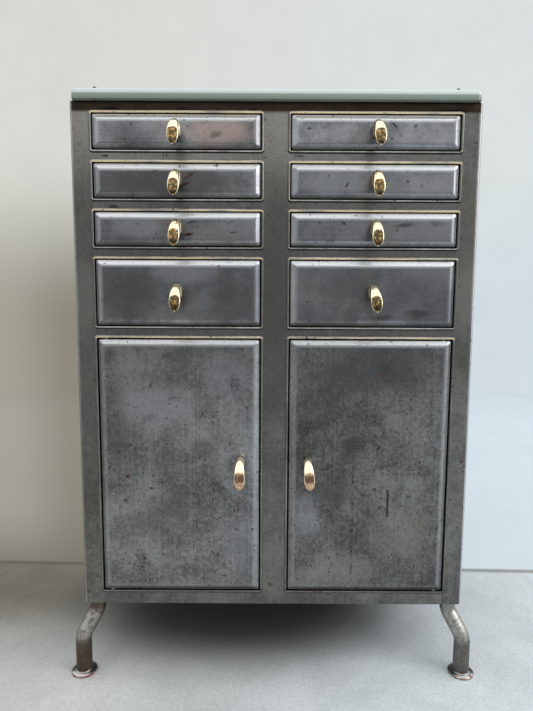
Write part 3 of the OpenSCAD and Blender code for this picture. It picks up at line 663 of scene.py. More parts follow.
def cast_brass():
    """Polished cast brass: a painted dark reflection and amber tarnish in the leaf's hollow, dull and in
    painted shade in the slot and on the strap's left flank, coppery on the doors with a painted highlight on
    their straps.
    """
    f = Finish("cast_brass")
    tarnish = f.between(f.noise(60, 3.0, 5, 0.6, 0.6), 0.45, 0.75)
    colour = f.mix(f.times(tarnish, 0.35), (0.96, 0.87, 0.60), (0.74, 0.50, 0.22))
    ragged = f.times(f.minus(f.noise(230, 6.0, 4, 0.6), 0.5), 1.1)
    # Over the leaf's hollow a painted dark reflection of the room, partly amber tarnish.
    hollow = f.between(f.plus(f.attribute("hollow"), ragged), 0.28, 0.62)
    amber = f.between(f.noise(240, 9.0, 5, 0.6, 0.5), 0.47, 0.66)
    painted_dark_and_stain = f.mix(amber, (0.035, 0.021, 0.009), (0.56, 0.33, 0.10))
    copper = f.mix(amber, (0.50, 0.30, 0.20), (0.98, 0.66, 0.38))
    on_door = f.between(f.axis("Z"), 0.52, 0.50)
    painted_dark_and_stain = f.mix(on_door, painted_dark_and_stain, copper)
    # On the doors the strap carries a painted highlight.
    colour = f.mix(on_door, colour, f.mix(f.attribute("strap"), (0.93, 0.80, 0.58), (1.0, 0.95, 0.82)))
    colour = f.mix(f.times(hollow, 0.95), colour, painted_dark_and_stain)
    # The strap's left flank and the slot behind the leaf are rougher and darkened as painted shade.
    shaded = f.times(f.between(f.facing("X"), -0.1, -0.6), f.attribute("strap"))
    dull_and_shaded = f.most(f.times(shaded, 0.85), f.attribute("slot"))
    rough = f.most(dull_and_shaded, f.times(f.attribute("strap"), on_door))
    colour = f.mix(f.times(dull_and_shaded, 0.92), colour, (0.09, 0.05, 0.02))
    handled = f.noise(420, 5.0, 3, 0.6)
    f.set(
        Base_Color=colour,
        Metallic=1.0,
        Roughness=f.blend(rough, f.between(tarnish, 0.0, 1.0, 0.06, 0.18), 0.4),
        Normal=f.bump(handled, 0.08, 0.2 * MM),
    )
    return f.material


def slab_glass():
    """Thick green glass: a painted highlight on its rounded upper edge, and its lower edge is dark."""
    f = Finish("slab_glass")
    low, high = (corner.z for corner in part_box("glass_top"))
    colour = f.mix(f.noise(4, 7.0, 2, 0.5), (0.35, 0.42, 0.36), (0.41, 0.48, 0.42))
    colour = f.mix(f.between(f.axis("Z"), low + 11 * MM, low + 1 * MM, 0.0, 0.6), colour, (0.17, 0.21, 0.17))
    # Painted highlight: the rounded upper edge pale and bluish.
    crown = f.between(f.axis("Z"), high - 10.5 * MM, high - 8.5 * MM)
    colour = f.mix(crown, colour, f.mix(f.noise(18, 5.0, 3), (0.74, 0.83, 0.80), (0.86, 0.93, 0.92)))
    smears = f.noise(30, 9.0, 4, 0.6)
    f.set(
        Base_Color=colour,
        Metallic=0.0,
        Roughness=f.between(smears, 0.3, 0.7, 0.04, 0.16),
        Normal=f.bump(f.noise(9, 12.0, 2), 0.05, 0.5 * MM),
        Transmission_Weight=0.3,
        IOR=1.5,
    )
    return f.material


def foot_steel():
    """Turned steel foot discs: bright on top, worn red paint on the rim."""
    f = Finish("foot_steel")
    height = f.axis("Z")
    rim = f.between(height, 4.2 * MM, 3.2 * MM)
    flakes = f.between(f.noise(110, 2.0, 5, 0.65), 0.42, 0.54)
    paint = f.times(rim, flakes)
    bare = f.mix(f.noise(140, 4.0, 6, 0.7), (0.26, 0.25, 0.24), (0.62, 0.62, 0.61))
    stain = f.between(f.noise(90, 6.0, 5, 0.7), 0.55, 0.68)
    metal = f.mix(stain, bare, (0.16, 0.09, 0.06))
    red = f.mix(f.noise(70, 8.0, 4), (0.13, 0.025, 0.022), (0.30, 0.06, 0.05))
    red = f.mix(f.between(f.axis("X"), -0.1, 0.1), red, (0.22, 0.13, 0.06))
    f.set(
        Base_Color=f.mix(paint, metal, red),
        Metallic=f.blend(paint, 1.0, 0.0),
        Roughness=f.blend(paint, 0.24, 0.5),
        Normal=f.bump(paint, 0.3, 0.15 * MM),
    )
    return f.material


# ---- mesh helpers ----


def new_piece(name, mesh, material):
    piece = bpy.data.objects.new(name, mesh)
    bpy.context.scene.collection.objects.link(piece)
    mesh.materials.clear()
    mesh.materials.append(material)
    mesh.shade_smooth()
    return piece


def mark(mesh, name, values, domain="POINT"):
    """Gives the mesh a named value that its material reads."""
    mesh.attributes.new(name, "FLOAT", domain).data.foreach_set("value", values)


def mesh_from(name, points, faces):
    mesh = bpy.data.meshes.new(name)
    mesh.from_pydata([tuple(p) for p in points], [], faces)
    mesh.update()
    return mesh


def loft(name, rings, closed=False):
    """A skin over rings of points, each joined to the next; closed if the last joins the first."""
    sides = len(rings[0])
    last = len(rings) - (0 if closed else 1)
    faces = []
    for i in range(last):
        a, b = i * sides, (i + 1) % len(rings) * sides
        for k in range(sides):
            n = (k + 1) % sides
            faces.append((a + k, a + n, b + n, b + k))
    if not closed:
        faces.append(tuple(reversed(range(sides))))
        faces.append(tuple(range((len(rings) - 1) * sides, len(rings) * sides)))
    return mesh_from(name, [p for ring in rings for p in ring], faces)


def merge_doubles(shell):
    bmesh.ops.remove_doubles(shell, verts=shell.verts, dist=1e-6)


def face_outwards(mesh):
    shell = bmesh.new()
    shell.from_mesh(mesh)
    merge_doubles(shell)
    bmesh.ops.recalc_face_normals(shell, faces=shell.faces)
    shell.to_mesh(mesh)
    shell.free()


def harden(piece):
    """Flat faces stay flat beside their rounded edges."""
    piece.modifiers.new("flat faces", "WEIGHTED_NORMAL").keep_sharp = True


def settle(piece, body, node):
    """The piece rides a body and stands in for its solid."""
    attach(piece, body)
    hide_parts(node)


SIDE_EDGE = 0.35 * MM
RAIL_EDGE = 0.3 * MM
# How far the painted highlight, partly wear, reaches from the front corners of the body, and how bright it
# is.
CORNER_REACH = 4.5 * MM
CORNER_HIGHLIGHT = {"left": 0.45, "right": 0.9}


def soft_edged(node, material, radius, corner_highlight=0.0):
    """The solid's own shape again, with its sharp edges rounded and a painted highlight, partly wear, on its
    front corner.
    """
    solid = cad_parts[node].data.copy()
    shell = bmesh.new()
    shell.from_mesh(solid)
    merge_doubles(shell)
    bmesh.ops.dissolve_limit(shell, angle_limit=math.radians(1), verts=shell.verts, edges=shell.edges)
    shell.to_mesh(solid)
    shell.free()
    corner_x = body_high.x - body_middle.x - CORNER_REACH
    corner_y = frame_front + CORNER_REACH
    wear_highlight = [
        corner_highlight if abs(v.co.x - body_middle.x) > corner_x and v.co.y < corner_y else 0.0
        for v in solid.vertices
    ]
    mark(solid, "wear_highlight", wear_highlight)
    piece = new_piece(node + "_soft", solid, material)
    rounding = piece.modifiers.new("rounded edges", "BEVEL")
    rounding.width = radius
    rounding.segments = 2
    rounding.limit_method = "ANGLE"
    rounding.angle_limit = math.radians(40)
    harden(piece)
    settle(piece, "cabinet", node)


# ---- pressed fronts of the drawers and doors ----


def rounded_line(points, radii, steps=4):
    """A polyline with each inner corner replaced by an arc of the given radius."""
    line = [points[0]]
    for before, here, after, radius in zip(points, points[1:], points[2:], radii):
        inward = (Vector(before) - Vector(here)).normalized()
        onward = (Vector(after) - Vector(here)).normalized()
        half = inward.angle(onward) / 2
        reach = radius / math.tan(half)
        centre = Vector(here) + (inward + onward).normalized() * radius / math.sin(half)
        first = Vector(here) + inward * reach - centre
        sweep = first.angle_signed(Vector(here) + onward * reach - centre)
        for step in range(steps + 1):
            line.append(centre + Matrix.Rotation(-sweep * step / steps, 2) @ first)
    line.append(points[-1])
    return [Vector(p) for p in line]


# How bright the painted highlight, partly wear, is on a door's bevels at the left, right, bottom and top.
DOOR_HIGHLIGHTS = (0.27, 0.42, 0.12, 0.88)
# Radii of a pan's outer edge, of the foot of its bevel and of the bevel's upper bend.
PAN_ROUNDS = (0.9 * MM, 0.6 * MM, 6 * MM)
CORNER_ROUND = 3 * MM
# The raised field: how far past the bevel it begins, the step of its grid, and the height, the
# scale and the fading in of its waves.
FIELD_START = 6 * MM
FIELD_STEP = 9 * MM
WAVE_HEIGHT = 0.22 * MM
WAVE_SCALE = 14
WAVE_FADE = 12 * MM
DOOR_SEED = 20


def drawer_highlights(row):
    """How bright the painted highlight, partly wear, is on a drawer's bevels at the left, right, bottom and
    top.
    """
    return 0.42, 0.28 - 0.03 * row, 0.0, 0.95


def rounded_corner(across, up, half_w, half_h):
    """Draws a point near a corner of the outline in onto a quarter circle."""
    du, dv = half_w - abs(across), half_h - abs(up)
    if du >= CORNER_ROUND or dv >= CORNER_ROUND:
        return across, up
    a, b = CORNER_ROUND - du, CORNER_ROUND - dv
    shrink = max(a, b) / math.hypot(a, b) if a or b else 1
    return (
        math.copysign(half_w - CORNER_ROUND + a * shrink, across),
        math.copysign(half_h - CORNER_ROUND + b * shrink, up),
    )


def pressed_front(name, node, body, material, seed, worn, low_shade):
    """A pressed pan: rounded edge, flat flange, sloping bevel and a faintly uneven raised field.

    worn is how bright the painted highlight, partly wear, is on the bevels at the left, right, bottom
    and top; the last one is how much painted shade lies at the bottom edge, and the sides back in the
    gap are painted in shade as well.
    """
    low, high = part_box(node)
    half_w, half_h = (high.x - low.x) / 2, (high.z - low.z) / 2
    middle = (low + high) / 2
    face_y = low.y + BEVEL_RISE
    inner = FRONT_FLANGE + BEVEL_WIDTH
    behind = (0, -4 * MM)
    bends = [behind, (0, 0), (FRONT_FLANGE, 0), (inner, BEVEL_RISE), (2 * inner, BEVEL_RISE)]
    section = rounded_line(bends, PAN_ROUNDS, steps=5)[1:]
    section[-1].x = inner + FIELD_START
    insets = [p.x for p in section]

    def lines(half):
        steps = max(2, round(2 * (half - insets[-1]) / FIELD_STEP))
        field = half - insets[-1]
        inside = [-field + 2 * field * k / steps for k in range(1, steps)]
        edge = [-half + d for d in insets]
        return edge + inside + [-x for x in reversed(edge)]

    xs, zs = lines(half_w), lines(half_h)
    last = len(section) - 1
    points, wear_highlight, painted_shade = [], [], []
    for j, z in enumerate(zs):
        for i, x in enumerate(xs):
            ranks = (i, len(xs) - 1 - i, j, len(zs) - 1 - j)
            rank = min(*ranks, last)
            px, pz = rounded_corner(x, z, half_w, half_h)
            rise = section[rank].y
            if rank == last:
                depth = min(half_w - abs(x), half_h - abs(z)) - insets[-1]
                fade = min(1.0, depth / WAVE_FADE)
                rise += WAVE_HEIGHT * fade * noise.noise(Vector((x * WAVE_SCALE, z * WAVE_SCALE, seed)))
                rise = min(rise, BEVEL_RISE)
            points.append((middle.x + px, face_y - rise, middle.z + pz))
            # Painted highlight, partly wear, on the sloping bevels, as each side's share gives.
            sides = [share for k, share in zip(ranks, worn) if k == rank]
            sloping = rank < last and section[rank].x > FRONT_FLANGE - 0.5 * MM
            wear_highlight.append(sum(sides) / len(sides) if sloping else 0.0)
            # Painted shade along the bottom bevel and flange.
            low_edge = 1 - (half_h + z) / inner if j <= last and rank < last else 0.0
            painted_shade.append(low_shade * max(0.0, low_edge))
    columns = len(xs)
    faces = [
        (j * columns + i, j * columns + i + 1, (j + 1) * columns + i + 1, (j + 1) * columns + i)
        for j in range(len(zs) - 1)
        for i in range(columns - 1)
    ]
    rim = list(range(columns))
    rim += [j * columns + columns - 1 for j in range(1, len(zs))]
    rim += [(len(zs) - 1) * columns + i for i in range(columns - 2, -1, -1)]
    rim += [j * columns for j in range(len(zs) - 2, 0, -1)]
    start = len(points)
    for depth in (0.5, 1.0):
        for index in rim:
            x, y, z = points[index]
            points.append((x, y + (high.y - y) * depth, z))
            wear_highlight.append(0.0)
            # The sides back in the gap carry painted shade.
            painted_shade.append(0.6)
    previous = rim
    for ring in range(2):
        here = [start + ring * len(rim) + k for k in range(len(rim))]
        for k in range(len(rim)):
            n = (k + 1) % len(rim)
            faces.append((previous[n], previous[k], here[k], here[n]))
        previous = here
    mesh = mesh_from(name, points, faces)
    mark(mesh, "wear_highlight", wear_highlight)
    mark(mesh, "painted_shade", painted_shade)
    piece = new_piece(name, mesh, material)
    wall = piece.modifiers.new("sheet", "SOLIDIFY")
    wall.thickness = SHEET
    wall.offset = -1
    settle(piece, body, node)


# ---- pulls ----

# Spine of a pull from its foot to its tip: distance out, height, width and thickness, as shares
# of the reach, the pull's height, its full width and the leaf's thickness.
PULL_SPINE = [
    (0.000, 0.043, 0.70, 2.00),
    (0.075, 0.068, 0.72, 1.50),
    (0.120, 0.170, 0.72, 1.30),
    (0.140, 0.300, 0.72, 1.10),
    (0.190, 0.415, 0.64, 1.04),
    (0.310, 0.456, 0.50, 0.98),
    (0.470, 0.438, 0.52, 0.94),
    (0.645, 0.350, 0.66, 0.90),
    (0.790, 0.205, 0.82, 0.90),
    (0.887, 0.032, 0.94, 0.90),
    (0.940, -0.170, 1.00, 0.88),
    (0.970, -0.340, 0.82, 0.78),
    (0.975, -0.443, 0.50, 0.55),
    (0.970, -0.489, 0.16, 0.30),
]
DRAWER_PULL = 47 * MM
DOOR_PULL = 52 * MM
PULL_REACH = 40 * MM
PULL_WIDTH = 19.5 * MM
PULL_LEAF = 5 * MM
# A few pulls have turned a little on their studs: degrees, the tip to the right.
PULL_LEAN = {
    "drawer_right_4_pull": -6,
    "door_right_pull": -4,
    "drawer_left_3_pull": 2,
    "drawer_right_1_pull": -2,
}
PULL_SIDES = 28
PULL_STEPS = 5
# Stations on the spine: the strap fades out, the section turns flat, the hollow begins and ends.
STRAP_FADES, STRAP_END = 4.5, 6.0
LEAF_FROM, LEAF_FLAT = 6.0, 8.0
HOLLOW_FROM, HOLLOW_FULL = 8.3, 9.1
HOLLOW_FADES, HOLLOW_END = 12.1, 12.9


def smooth(low, high, value):
    """A smooth step of a value from 0 at low to 1 at high."""
    share = max(0.0, min(1.0, (value - low) / (high - low)))
    return share * share * (3 - 2 * share)


def along_spine(t):
    """A smooth point on the spine at t, counted in stations."""
    i = min(int(t), len(PULL_SPINE) - 2)
    part = t - i
    before, a, b, after = (PULL_SPINE[max(0, min(len(PULL_SPINE) - 1, k))] for k in range(i - 1, i + 3))
    return [
        0.5 * (
            2 * q
            + (r - p) * part
            + (2 * p - 5 * q + 4 * r - s) * part**2
            + (3 * q - p - 3 * r + s) * part**3
        )
        for p, q, r, s in zip(before, a, b, after)
    ]


def pull_section(turn, flat):
    """Section of the casting: round on the stem, with a flat face and chamfered rims on the leaf."""
    c, s = math.cos(turn), math.sin(turn)
    across = math.copysign(abs(c) ** (1 - 0.22 * flat), c)
    lift = math.copysign(abs(s) ** (1 - 0.30 * flat), s)
    if s > 0:
        lift = min(lift, 1 - 0.28 * flat * (1 - abs(across) ** 3))
    return across, lift


def pull_mesh(name, height):
    """The casting at the origin, with its hollow (where the material paints a dark reflection and tarnish),
    its strap and the slot between marked on it.
    """
    rings, hollow, strap, slot = [], [], [], []
    stations = (len(PULL_SPINE) - 1) * PULL_STEPS
    for k in range(stations + 1):
        t = k / PULL_STEPS
        out, up, width, thick = along_spine(t)
        ahead, behind = along_spine(min(t + 0.05, len(PULL_SPINE) - 1)), along_spine(max(t - 0.05, 0))
        step_out = (ahead[0] - behind[0]) * PULL_REACH
        step_up = (ahead[1] - behind[1]) * height
        size = math.hypot(step_out, step_up)
        if k == 0:
            step_out, step_up, size = 1, 0, 1
        flat = max(0.0, min(1.0, (t - LEAF_FROM) / (LEAF_FLAT - LEAF_FROM)))
        ring = []
        for i in range(PULL_SIDES):
            across, lift = pull_section(2 * math.pi * i / PULL_SIDES, flat)
            x = across * width * PULL_WIDTH / 2
            rise = lift * thick * PULL_LEAF / 2
            y = -(out * PULL_REACH - rise * step_up / size)
            z = up * height + rise * step_out / size
            ring.append((x, y, z))
            # the hollow's upper edge is an arch
            face = smooth(HOLLOW_FROM, HOLLOW_FULL, t - 0.5 * across**2) * smooth(HOLLOW_END, HOLLOW_FADES, t)
            face *= smooth(0.95, 0.78, abs(across))
            hollow.append(face if lift > 0 else 0.0)
            strap.append(smooth(STRAP_END, STRAP_FADES, t))
            slot.append(smooth(0.35, 0.75, -lift))
        rings.append(ring)
    mesh = loft(name, rings)
    mark(mesh, "hollow", hollow)
    mark(mesh, "strap", strap)
    mark(mesh, "slot", slot)
    face_outwards(mesh)
    return mesh


def place_pull(node, body, height, brass):
    """Sets a casting on the field of its front, leaning where it has turned on its stud."""
    low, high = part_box(node)
    mesh = pull_mesh(node + "_casting", height)
    lowest = min(v.co.z for v in mesh.vertices)
    foot = Vector(((low.x + high.x) / 2, frame_front - BEVEL_RISE, low.z - lowest))
    lean = Matrix.Rotation(math.radians(PULL_LEAN.get(node, 0)), 4, "Y")
    mesh.transform(Matrix.Translation(foot) @ lean)
    piece = new_piece(node + "_casting", mesh, brass)
    settle(piece, body, node)


# ---- shapes grown by node trees ----


class Growth(Nodes):
    """A Geometry Nodes tree under construction, from its named inputs to a painted mesh."""

    def __init__(self, tree, kinds):
        super().__init__(tree)
        for name, kind in kinds.items():
            tree.interface.new_socket(name=name, in_out="INPUT", socket_type=kind)
        tree.interface.new_socket(name="Geometry", in_out="OUTPUT", socket_type="NodeSocketGeometry")
        self.given = tree.nodes.new("NodeGroupInput").outputs

    def end(self, geometry, material):
        real = self.result("GeometryNodeRealizeInstances", {"Geometry": geometry})
        painted = self.result("GeometryNodeSetMaterial", {"Geometry": real, "Material": material})
        self.node("NodeGroupOutput", {0: painted})


def grown(name, tree_name, build, inputs, source=None):
    """A plain mesh made by a Geometry Nodes tree with the given named inputs."""
    tree = bpy.data.node_groups.get(tree_name)
    if tree is None:
        tree = bpy.data.node_groups.new(tree_name, "GeometryNodeTree")
        build(tree)
    holder = bpy.data.objects.new(name, source or bpy.data.meshes.new(name))
    bpy.context.scene.collection.objects.link(holder)
    modifier = holder.modifiers.new(tree_name, "NODES")
    modifier.node_group = tree
    for item in tree.interface.items_tree:
        if item.in_out == "INPUT" and item.name in inputs:
            modifier[item.identifier] = inputs[item.name]
    evaluated = holder.evaluated_get(bpy.context.evaluated_depsgraph_get())
    mesh = bpy.data.meshes.new_from_object(evaluated)
    bpy.data.objects.remove(holder)
    mesh.name = name
    return mesh


# ---- beads round the openings ----


def build_bead(tree):
    """A half-round bead swept round an opening, standing on the frame's face."""
    lengths = ("Width", "Height", "Bead Width", "Bead Height", "Corner Radius")
    kinds = dict.fromkeys(lengths, "NodeSocketFloat")
    g = Growth(tree, {**kinds, "Place": "NodeSocketVector", "Steel": "NodeSocketMaterial"})
    given, bead = g.given, g.given["Bead Width"]
    half = g.times(bead, 0.5)
    sizes = {"Width": g.plus(given["Width"], bead), "Height": g.plus(given["Height"], bead)}
    path = g.result("GeometryNodeCurvePrimitiveQuadrilateral", sizes)
    rounding = {"Curve": path, "Radius": g.plus(given["Corner Radius"], half), "Count": 6}
    path = g.result("GeometryNodeFilletCurve", rounding, mode="POLY")
    path = g.result("GeometryNodeSetCurveNormal", {"Curve": path}, mode="Z_UP")
    profile = g.result("GeometryNodeCurvePrimitiveCircle", {"Resolution": 16, "Radius": 1.0})
    squash = g.result("ShaderNodeCombineXYZ", {"X": half, "Y": given["Bead Height"], "Z": 1.0})
    profile = g.result("GeometryNodeTransform", {"Geometry": profile, "Scale": squash})
    swept = g.result("GeometryNodeCurveToMesh", {"Curve": path, "Profile Curve": profile})
    moving = {"Geometry": swept, "Rotation": (math.pi / 2, 0, 0), "Translation": given["Place"]}
    g.end(g.result("GeometryNodeTransform", moving), given["Steel"])


BEAD_WIDTH = 5 * MM
BEAD_HEIGHT = 2.5 * MM
BEAD_CORNER = 1 * MM
DRAWER_GAP = 1.5 * MM
DOOR_GAP = 2 * MM


def joined(name, meshes):
    """The meshes as one, with their faces turned outwards."""
    whole = bmesh.new()
    for mesh in meshes:
        whole.from_mesh(mesh)
    bmesh.ops.recalc_face_normals(whole, faces=whole.faces)
    mesh = bpy.data.meshes.new(name)
    whole.to_mesh(mesh)
    whole.free()
    return mesh


def opening_beads(material):
    """The ten beads, with their lower runs and their upright runs marked for the material."""
    meshes, bottoms = [], []
    fronts = [(f"drawer_{side}_{row}_front", DRAWER_GAP) for side in COLUMNS for row in ROWS]
    fronts += [(f"door_{side}_skin", DOOR_GAP) for side in COLUMNS]
    for node, gap in fronts:
        low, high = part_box(node)
        middle = (low + high) / 2
        inputs = {
            "Width": high.x - low.x + 2 * gap,
            "Height": high.z - low.z + 2 * gap,
            "Bead Width": BEAD_WIDTH,
            "Bead Height": BEAD_HEIGHT,
            "Corner Radius": BEAD_CORNER,
            "Place": (middle.x, frame_front, middle.z),
            "Steel": material,
        }
        meshes.append(grown("bead", "bead_round_opening", build_bead, inputs))
        bottoms.append(low.z - gap - BEAD_WIDTH / 2)
    mesh = joined("opening_beads_round", meshes)
    lower = [float(any(abs(v.co.z - z) < 0.6 * BEAD_WIDTH for z in bottoms)) for v in mesh.vertices]
    mark(mesh, "lower", lower)
    upright = []
    for face in mesh.polygons:
        spots = [mesh.vertices[k].co for k in face.vertices]
        run, climb = (max(p[a] for p in spots) - min(p[a] for p in spots) for a in (0, 2))
        upright.append(climb / (run + climb))
    mark(mesh, "upright", upright, "FACE")
    piece = new_piece("opening_beads_round", mesh, material)
    settle(piece, "cabinet", "opening_beads")


# ---- glass, screws and feet ----


def build_corners(tree):
    """The incoming piece set at four corners of a rectangle."""
    kinds = {
        "Geometry": "NodeSocketGeometry",
        "Width": "NodeSocketFloat",
        "Depth": "NodeSocketFloat",
        "Middle": "NodeSocketVector",
        "Metal": "NodeSocketMaterial",
    }
    g = Growth(tree, kinds)
    given = g.given
    sizes = {"Size X": given["Width"], "Size Y": given["Depth"], "Vertices X": 2, "Vertices Y": 2}
    grid = g.result("GeometryNodeMeshGrid", sizes)
    moved = g.result("GeometryNodeTransform", {"Geometry": grid, "Translation": given["Middle"]})
    spots = g.result("GeometryNodeMeshToPoints", {"Mesh": moved})
    copies = g.result("GeometryNodeInstanceOnPoints", {"Points": spots, "Instance": given["Geometry"]})
    g.end(copies, given["Metal"])


def turned(name, outline, sides=48):
    """A turned piece: an outline of (radius, height) points spun about Z."""
    turns = [2 * math.pi * k / sides for k in range(sides)]
    mesh = loft(name, [[(r * math.cos(turn), r * math.sin(turn), z) for turn in turns] for r, z in outline])
    face_outwards(mesh)
    return mesh


def at_corners(name, mesh, radius, height, material, node):
    """Copies of a turned piece of that radius, where its node has its four solids."""
    low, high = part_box(node)
    inputs = {
        "Width": high.x - low.x - 2 * radius,
        "Depth": high.y - low.y - 2 * radius,
        "Middle": ((low.x + high.x) / 2, (low.y + high.y) / 2, height),
        "Metal": material,
    }
    made = grown(name, "set_at_corners", build_corners, inputs, source=mesh)
    settle(new_piece(name, made, material), "cabinet", node)


# A foot disc: how high its rim stands, as a share, how wide its slope is, and its rounded corners.
FOOT_RIM = 0.55
FOOT_SLOPE = 5 * MM
FOOT_ROUNDS = (1.4 * MM, 1.6 * MM, 2.5 * MM)
# The weld round a leg: points beside its outer radius and above the disc.
WELD = [(1.2 * MM, 0.3 * MM), (-0.5 * MM, 0.9 * MM)]


def foot_discs(material):
    """The turned discs under the legs, each with the weld round its leg."""
    low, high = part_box("foot_discs")
    thick = high.z - low.z
    rim, slope = (FOOT_RADIUS, FOOT_RIM * thick), (FOOT_RADIUS - FOOT_SLOPE, thick)
    section = rounded_line([(1 * MM, 0), (FOOT_RADIUS, 0), rim, slope, (LEG_RADIUS, thick)], FOOT_ROUNDS)
    weld = [Vector((LEG_RADIUS + out, thick + up)) for out, up in WELD]
    mesh = turned("foot_disc", section + weld + [Vector((LEG_RADIUS - LEG_WALL, thick))])
    at_corners("foot_discs_turned", mesh, FOOT_RADIUS, low.z, material, "foot_discs")


# A cap screw: how high its rim stands, the eased edge under it, and the small flat at either end.
HEAD_RIM = 2 * MM
HEAD_EASE = 0.4 * MM
SCREW_FLAT = 0.3 * MM


def cap_screws(material):
    """The domed screws through the glass, each drawn down to the end of its shank."""
    glass_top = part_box("glass_top")[1].z
    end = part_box("top_cap_screws")[0].z - glass_top
    outline = [
        (SCREW_FLAT, end),
        (SHANK_RADIUS, end),
        (SHANK_RADIUS, 0),
        (HEAD_RADIUS - HEAD_EASE, 0),
        (HEAD_RADIUS, HEAD_EASE),
    ]
    for k in range(8):
        turn = math.pi / 2 * k / 8
        rise = (HEAD_HEIGHT - HEAD_RIM) * math.sin(turn)
        outline.append((HEAD_RADIUS * math.cos(turn) ** 0.8, HEAD_RIM + rise))
    outline.append((SCREW_FLAT, HEAD_HEIGHT))
    mesh = turned("cap_screw", outline, 32)
    at_corners("cap_screws_domed", mesh, HEAD_RADIUS, glass_top, material, "top_cap_screws")


GLASS_CORNER = 8 * MM
GLASS_EASE = 1 * MM
GLASS_LEAST = 0.4 * MM


def glass_slab(material):
    """The slab: upright corners and upper edge rounded to one radius, the lower edge eased."""
    low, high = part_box("glass_top")
    half_x, half_y = (high.x - low.x) / 2, (high.y - low.y) / 2
    middle = (low + high) / 2
    steps = 8
    levels = [(GLASS_EASE, low.z), (0.3 * GLASS_EASE, low.z + 0.3 * GLASS_EASE), (0.0, low.z + GLASS_EASE)]
    for k in range(steps + 1):
        turn = math.pi / 2 * k / steps
        levels.append((GLASS_CORNER * (1 - math.cos(turn)), high.z - GLASS_CORNER * (1 - math.sin(turn))))
    rings = []
    for inset, z in levels:
        r = max(GLASS_CORNER - inset, GLASS_LEAST)
        ring = []
        for corner in range(4):
            sx = 1 if corner in (0, 3) else -1
            sy = 1 if corner < 2 else -1
            centre_x = middle.x + sx * (half_x - inset - r)
            centre_y = middle.y + sy * (half_y - inset - r)
            for k in range(steps + 1):
                turn = math.pi / 2 * (corner + k / steps)
                ring.append((centre_x + r * math.cos(turn), centre_y + r * math.sin(turn), z))
        rings.append(ring)
    mesh = loft("glass_slab", rings)
    face_outwards(mesh)
    piece = new_piece("glass_slab", mesh, material)
    harden(piece)
    settle(piece, "cabinet", "glass_top")


# ---- legs ----


LEG_STEPS = 10
LEG_SIDES = 40
LEG_SQUEEZE = 0.035


def leg_line(top_z, foot_z):
    """Centre line of a leg in its own plane: run, height and tilt."""
    drop = top_z - LEG_STUB - LEG_ELBOW
    slant = math.sqrt(LEG_RUN**2 - 4 * LEG_BEND * LEG_RUN + drop**2)
    slope = math.atan2(slant, -2 * LEG_BEND) - math.atan2(drop, LEG_RUN - 2 * LEG_BEND)
    tilts = [slope * k / LEG_STEPS for k in range(LEG_STEPS + 1)]
    arcs = [(LEG_BEND * (1 - math.cos(a)), LEG_BEND * math.sin(a), a) for a in tilts]
    bend = [(out, top_z - LEG_STUB - rise, a) for out, rise, a in arcs]
    lower = [(LEG_RUN - out, LEG_ELBOW + rise, a) for out, rise, a in reversed(arcs)]
    straight = [(LEG_RUN, LEG_ELBOW + (foot_z - LEG_ELBOW) * k / 6, 0.0) for k in range(1, 7)]
    return [(0.0, top_z, 0.0)] + bend + lower + straight


def leg_tube(end, side, material):
    """A bent tube, a touch flattened where it is bent."""
    node = f"leg_{end}_{side}"
    low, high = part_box(node)
    sx, sy = (1 if side == "right" else -1), (1 if end == "rear" else -1)
    top_x = body_middle.x + sx * (body_high.x - body_middle.x - LEG_SIDE_INSET)
    top_y = body_high.y - LEG_INSET if sy > 0 else body_low.y + LEG_INSET
    way = Vector((sx, sy, 0)).normalized()
    across = Vector((-way.y, way.x, 0))
    line = leg_line(high.z, low.z)
    greatest = max(tilt for _, _, tilt in line)
    outer, bore = [], []
    for k, (run, z, tilt) in enumerate(line):
        squeeze = 1 - LEG_SQUEEZE * math.sin(math.pi * tilt / greatest)
        for rings, radius in ((outer, LEG_RADIUS), (bore, LEG_RADIUS - LEG_WALL)):
            ring = []
            for i in range(LEG_SIDES):
                turn = 2 * math.pi * i / LEG_SIDES
                reach = radius * squeeze * math.cos(turn)
                spot = Vector((top_x, top_y, z)) + way * (run + reach * math.cos(tilt))
                spot += across * radius * math.sin(turn) + Vector((0, 0, reach * math.sin(tilt)))
                ring.append(spot)
            rings.append(ring)
    mesh = loft(node + "_tube", outer + bore[::-1], closed=True)
    face_outwards(mesh)
    piece = new_piece(node + "_tube", mesh, material)
    harden(piece)
    settle(piece, "cabinet", node)


# ---- light and room ----


def studio_world():
    """Soft light from above and from the right, weaker from the left, dim in front."""
    world = bpy.data.worlds.new("studio")
    bpy.context.scene.world = world
    world.use_nodes = True
    w = Nodes(world.node_tree)
    coords = w.node("ShaderNodeTexCoord").outputs["Generated"]
    way = w.node("ShaderNodeSeparateXYZ", {"Vector": coords}).outputs
    overhead = w.between(way["Z"], 0.05, 0.52, 0.23, 1.35)
    right = w.between(way["X"], 0.3, 0.95, 0.2, 1.15)
    left = w.between(way["X"], -0.35, -0.98, 0.2, 0.6)
    background = world.node_tree.nodes["Background"].inputs
    w.feed(background["Strength"], w.most(overhead, w.most(left, right)))
    w.feed(background["Color"], (0.97, 0.985, 1.0))


def soft_box(name, place, aim, size, power, colour):
    """A square soft light at a place, turned towards its aim."""
    data = bpy.data.lights.new(name, "AREA")
    data.shape = "SQUARE"
    data.size = size
    data.energy = power
    data.color = colour
    lamp = bpy.data.objects.new(name, data)
    bpy.context.scene.collection.objects.link(lamp)
    lamp.location = place
    lamp.rotation_euler = (Vector(aim) - Vector(place)).to_track_quat("-Z", "Y").to_euler()


# The line where the wall meets the floor, painted behind the cabinet: its Y, and its slant.
WALL_FOOT = 0.217
WALL_SLANT = 0.025


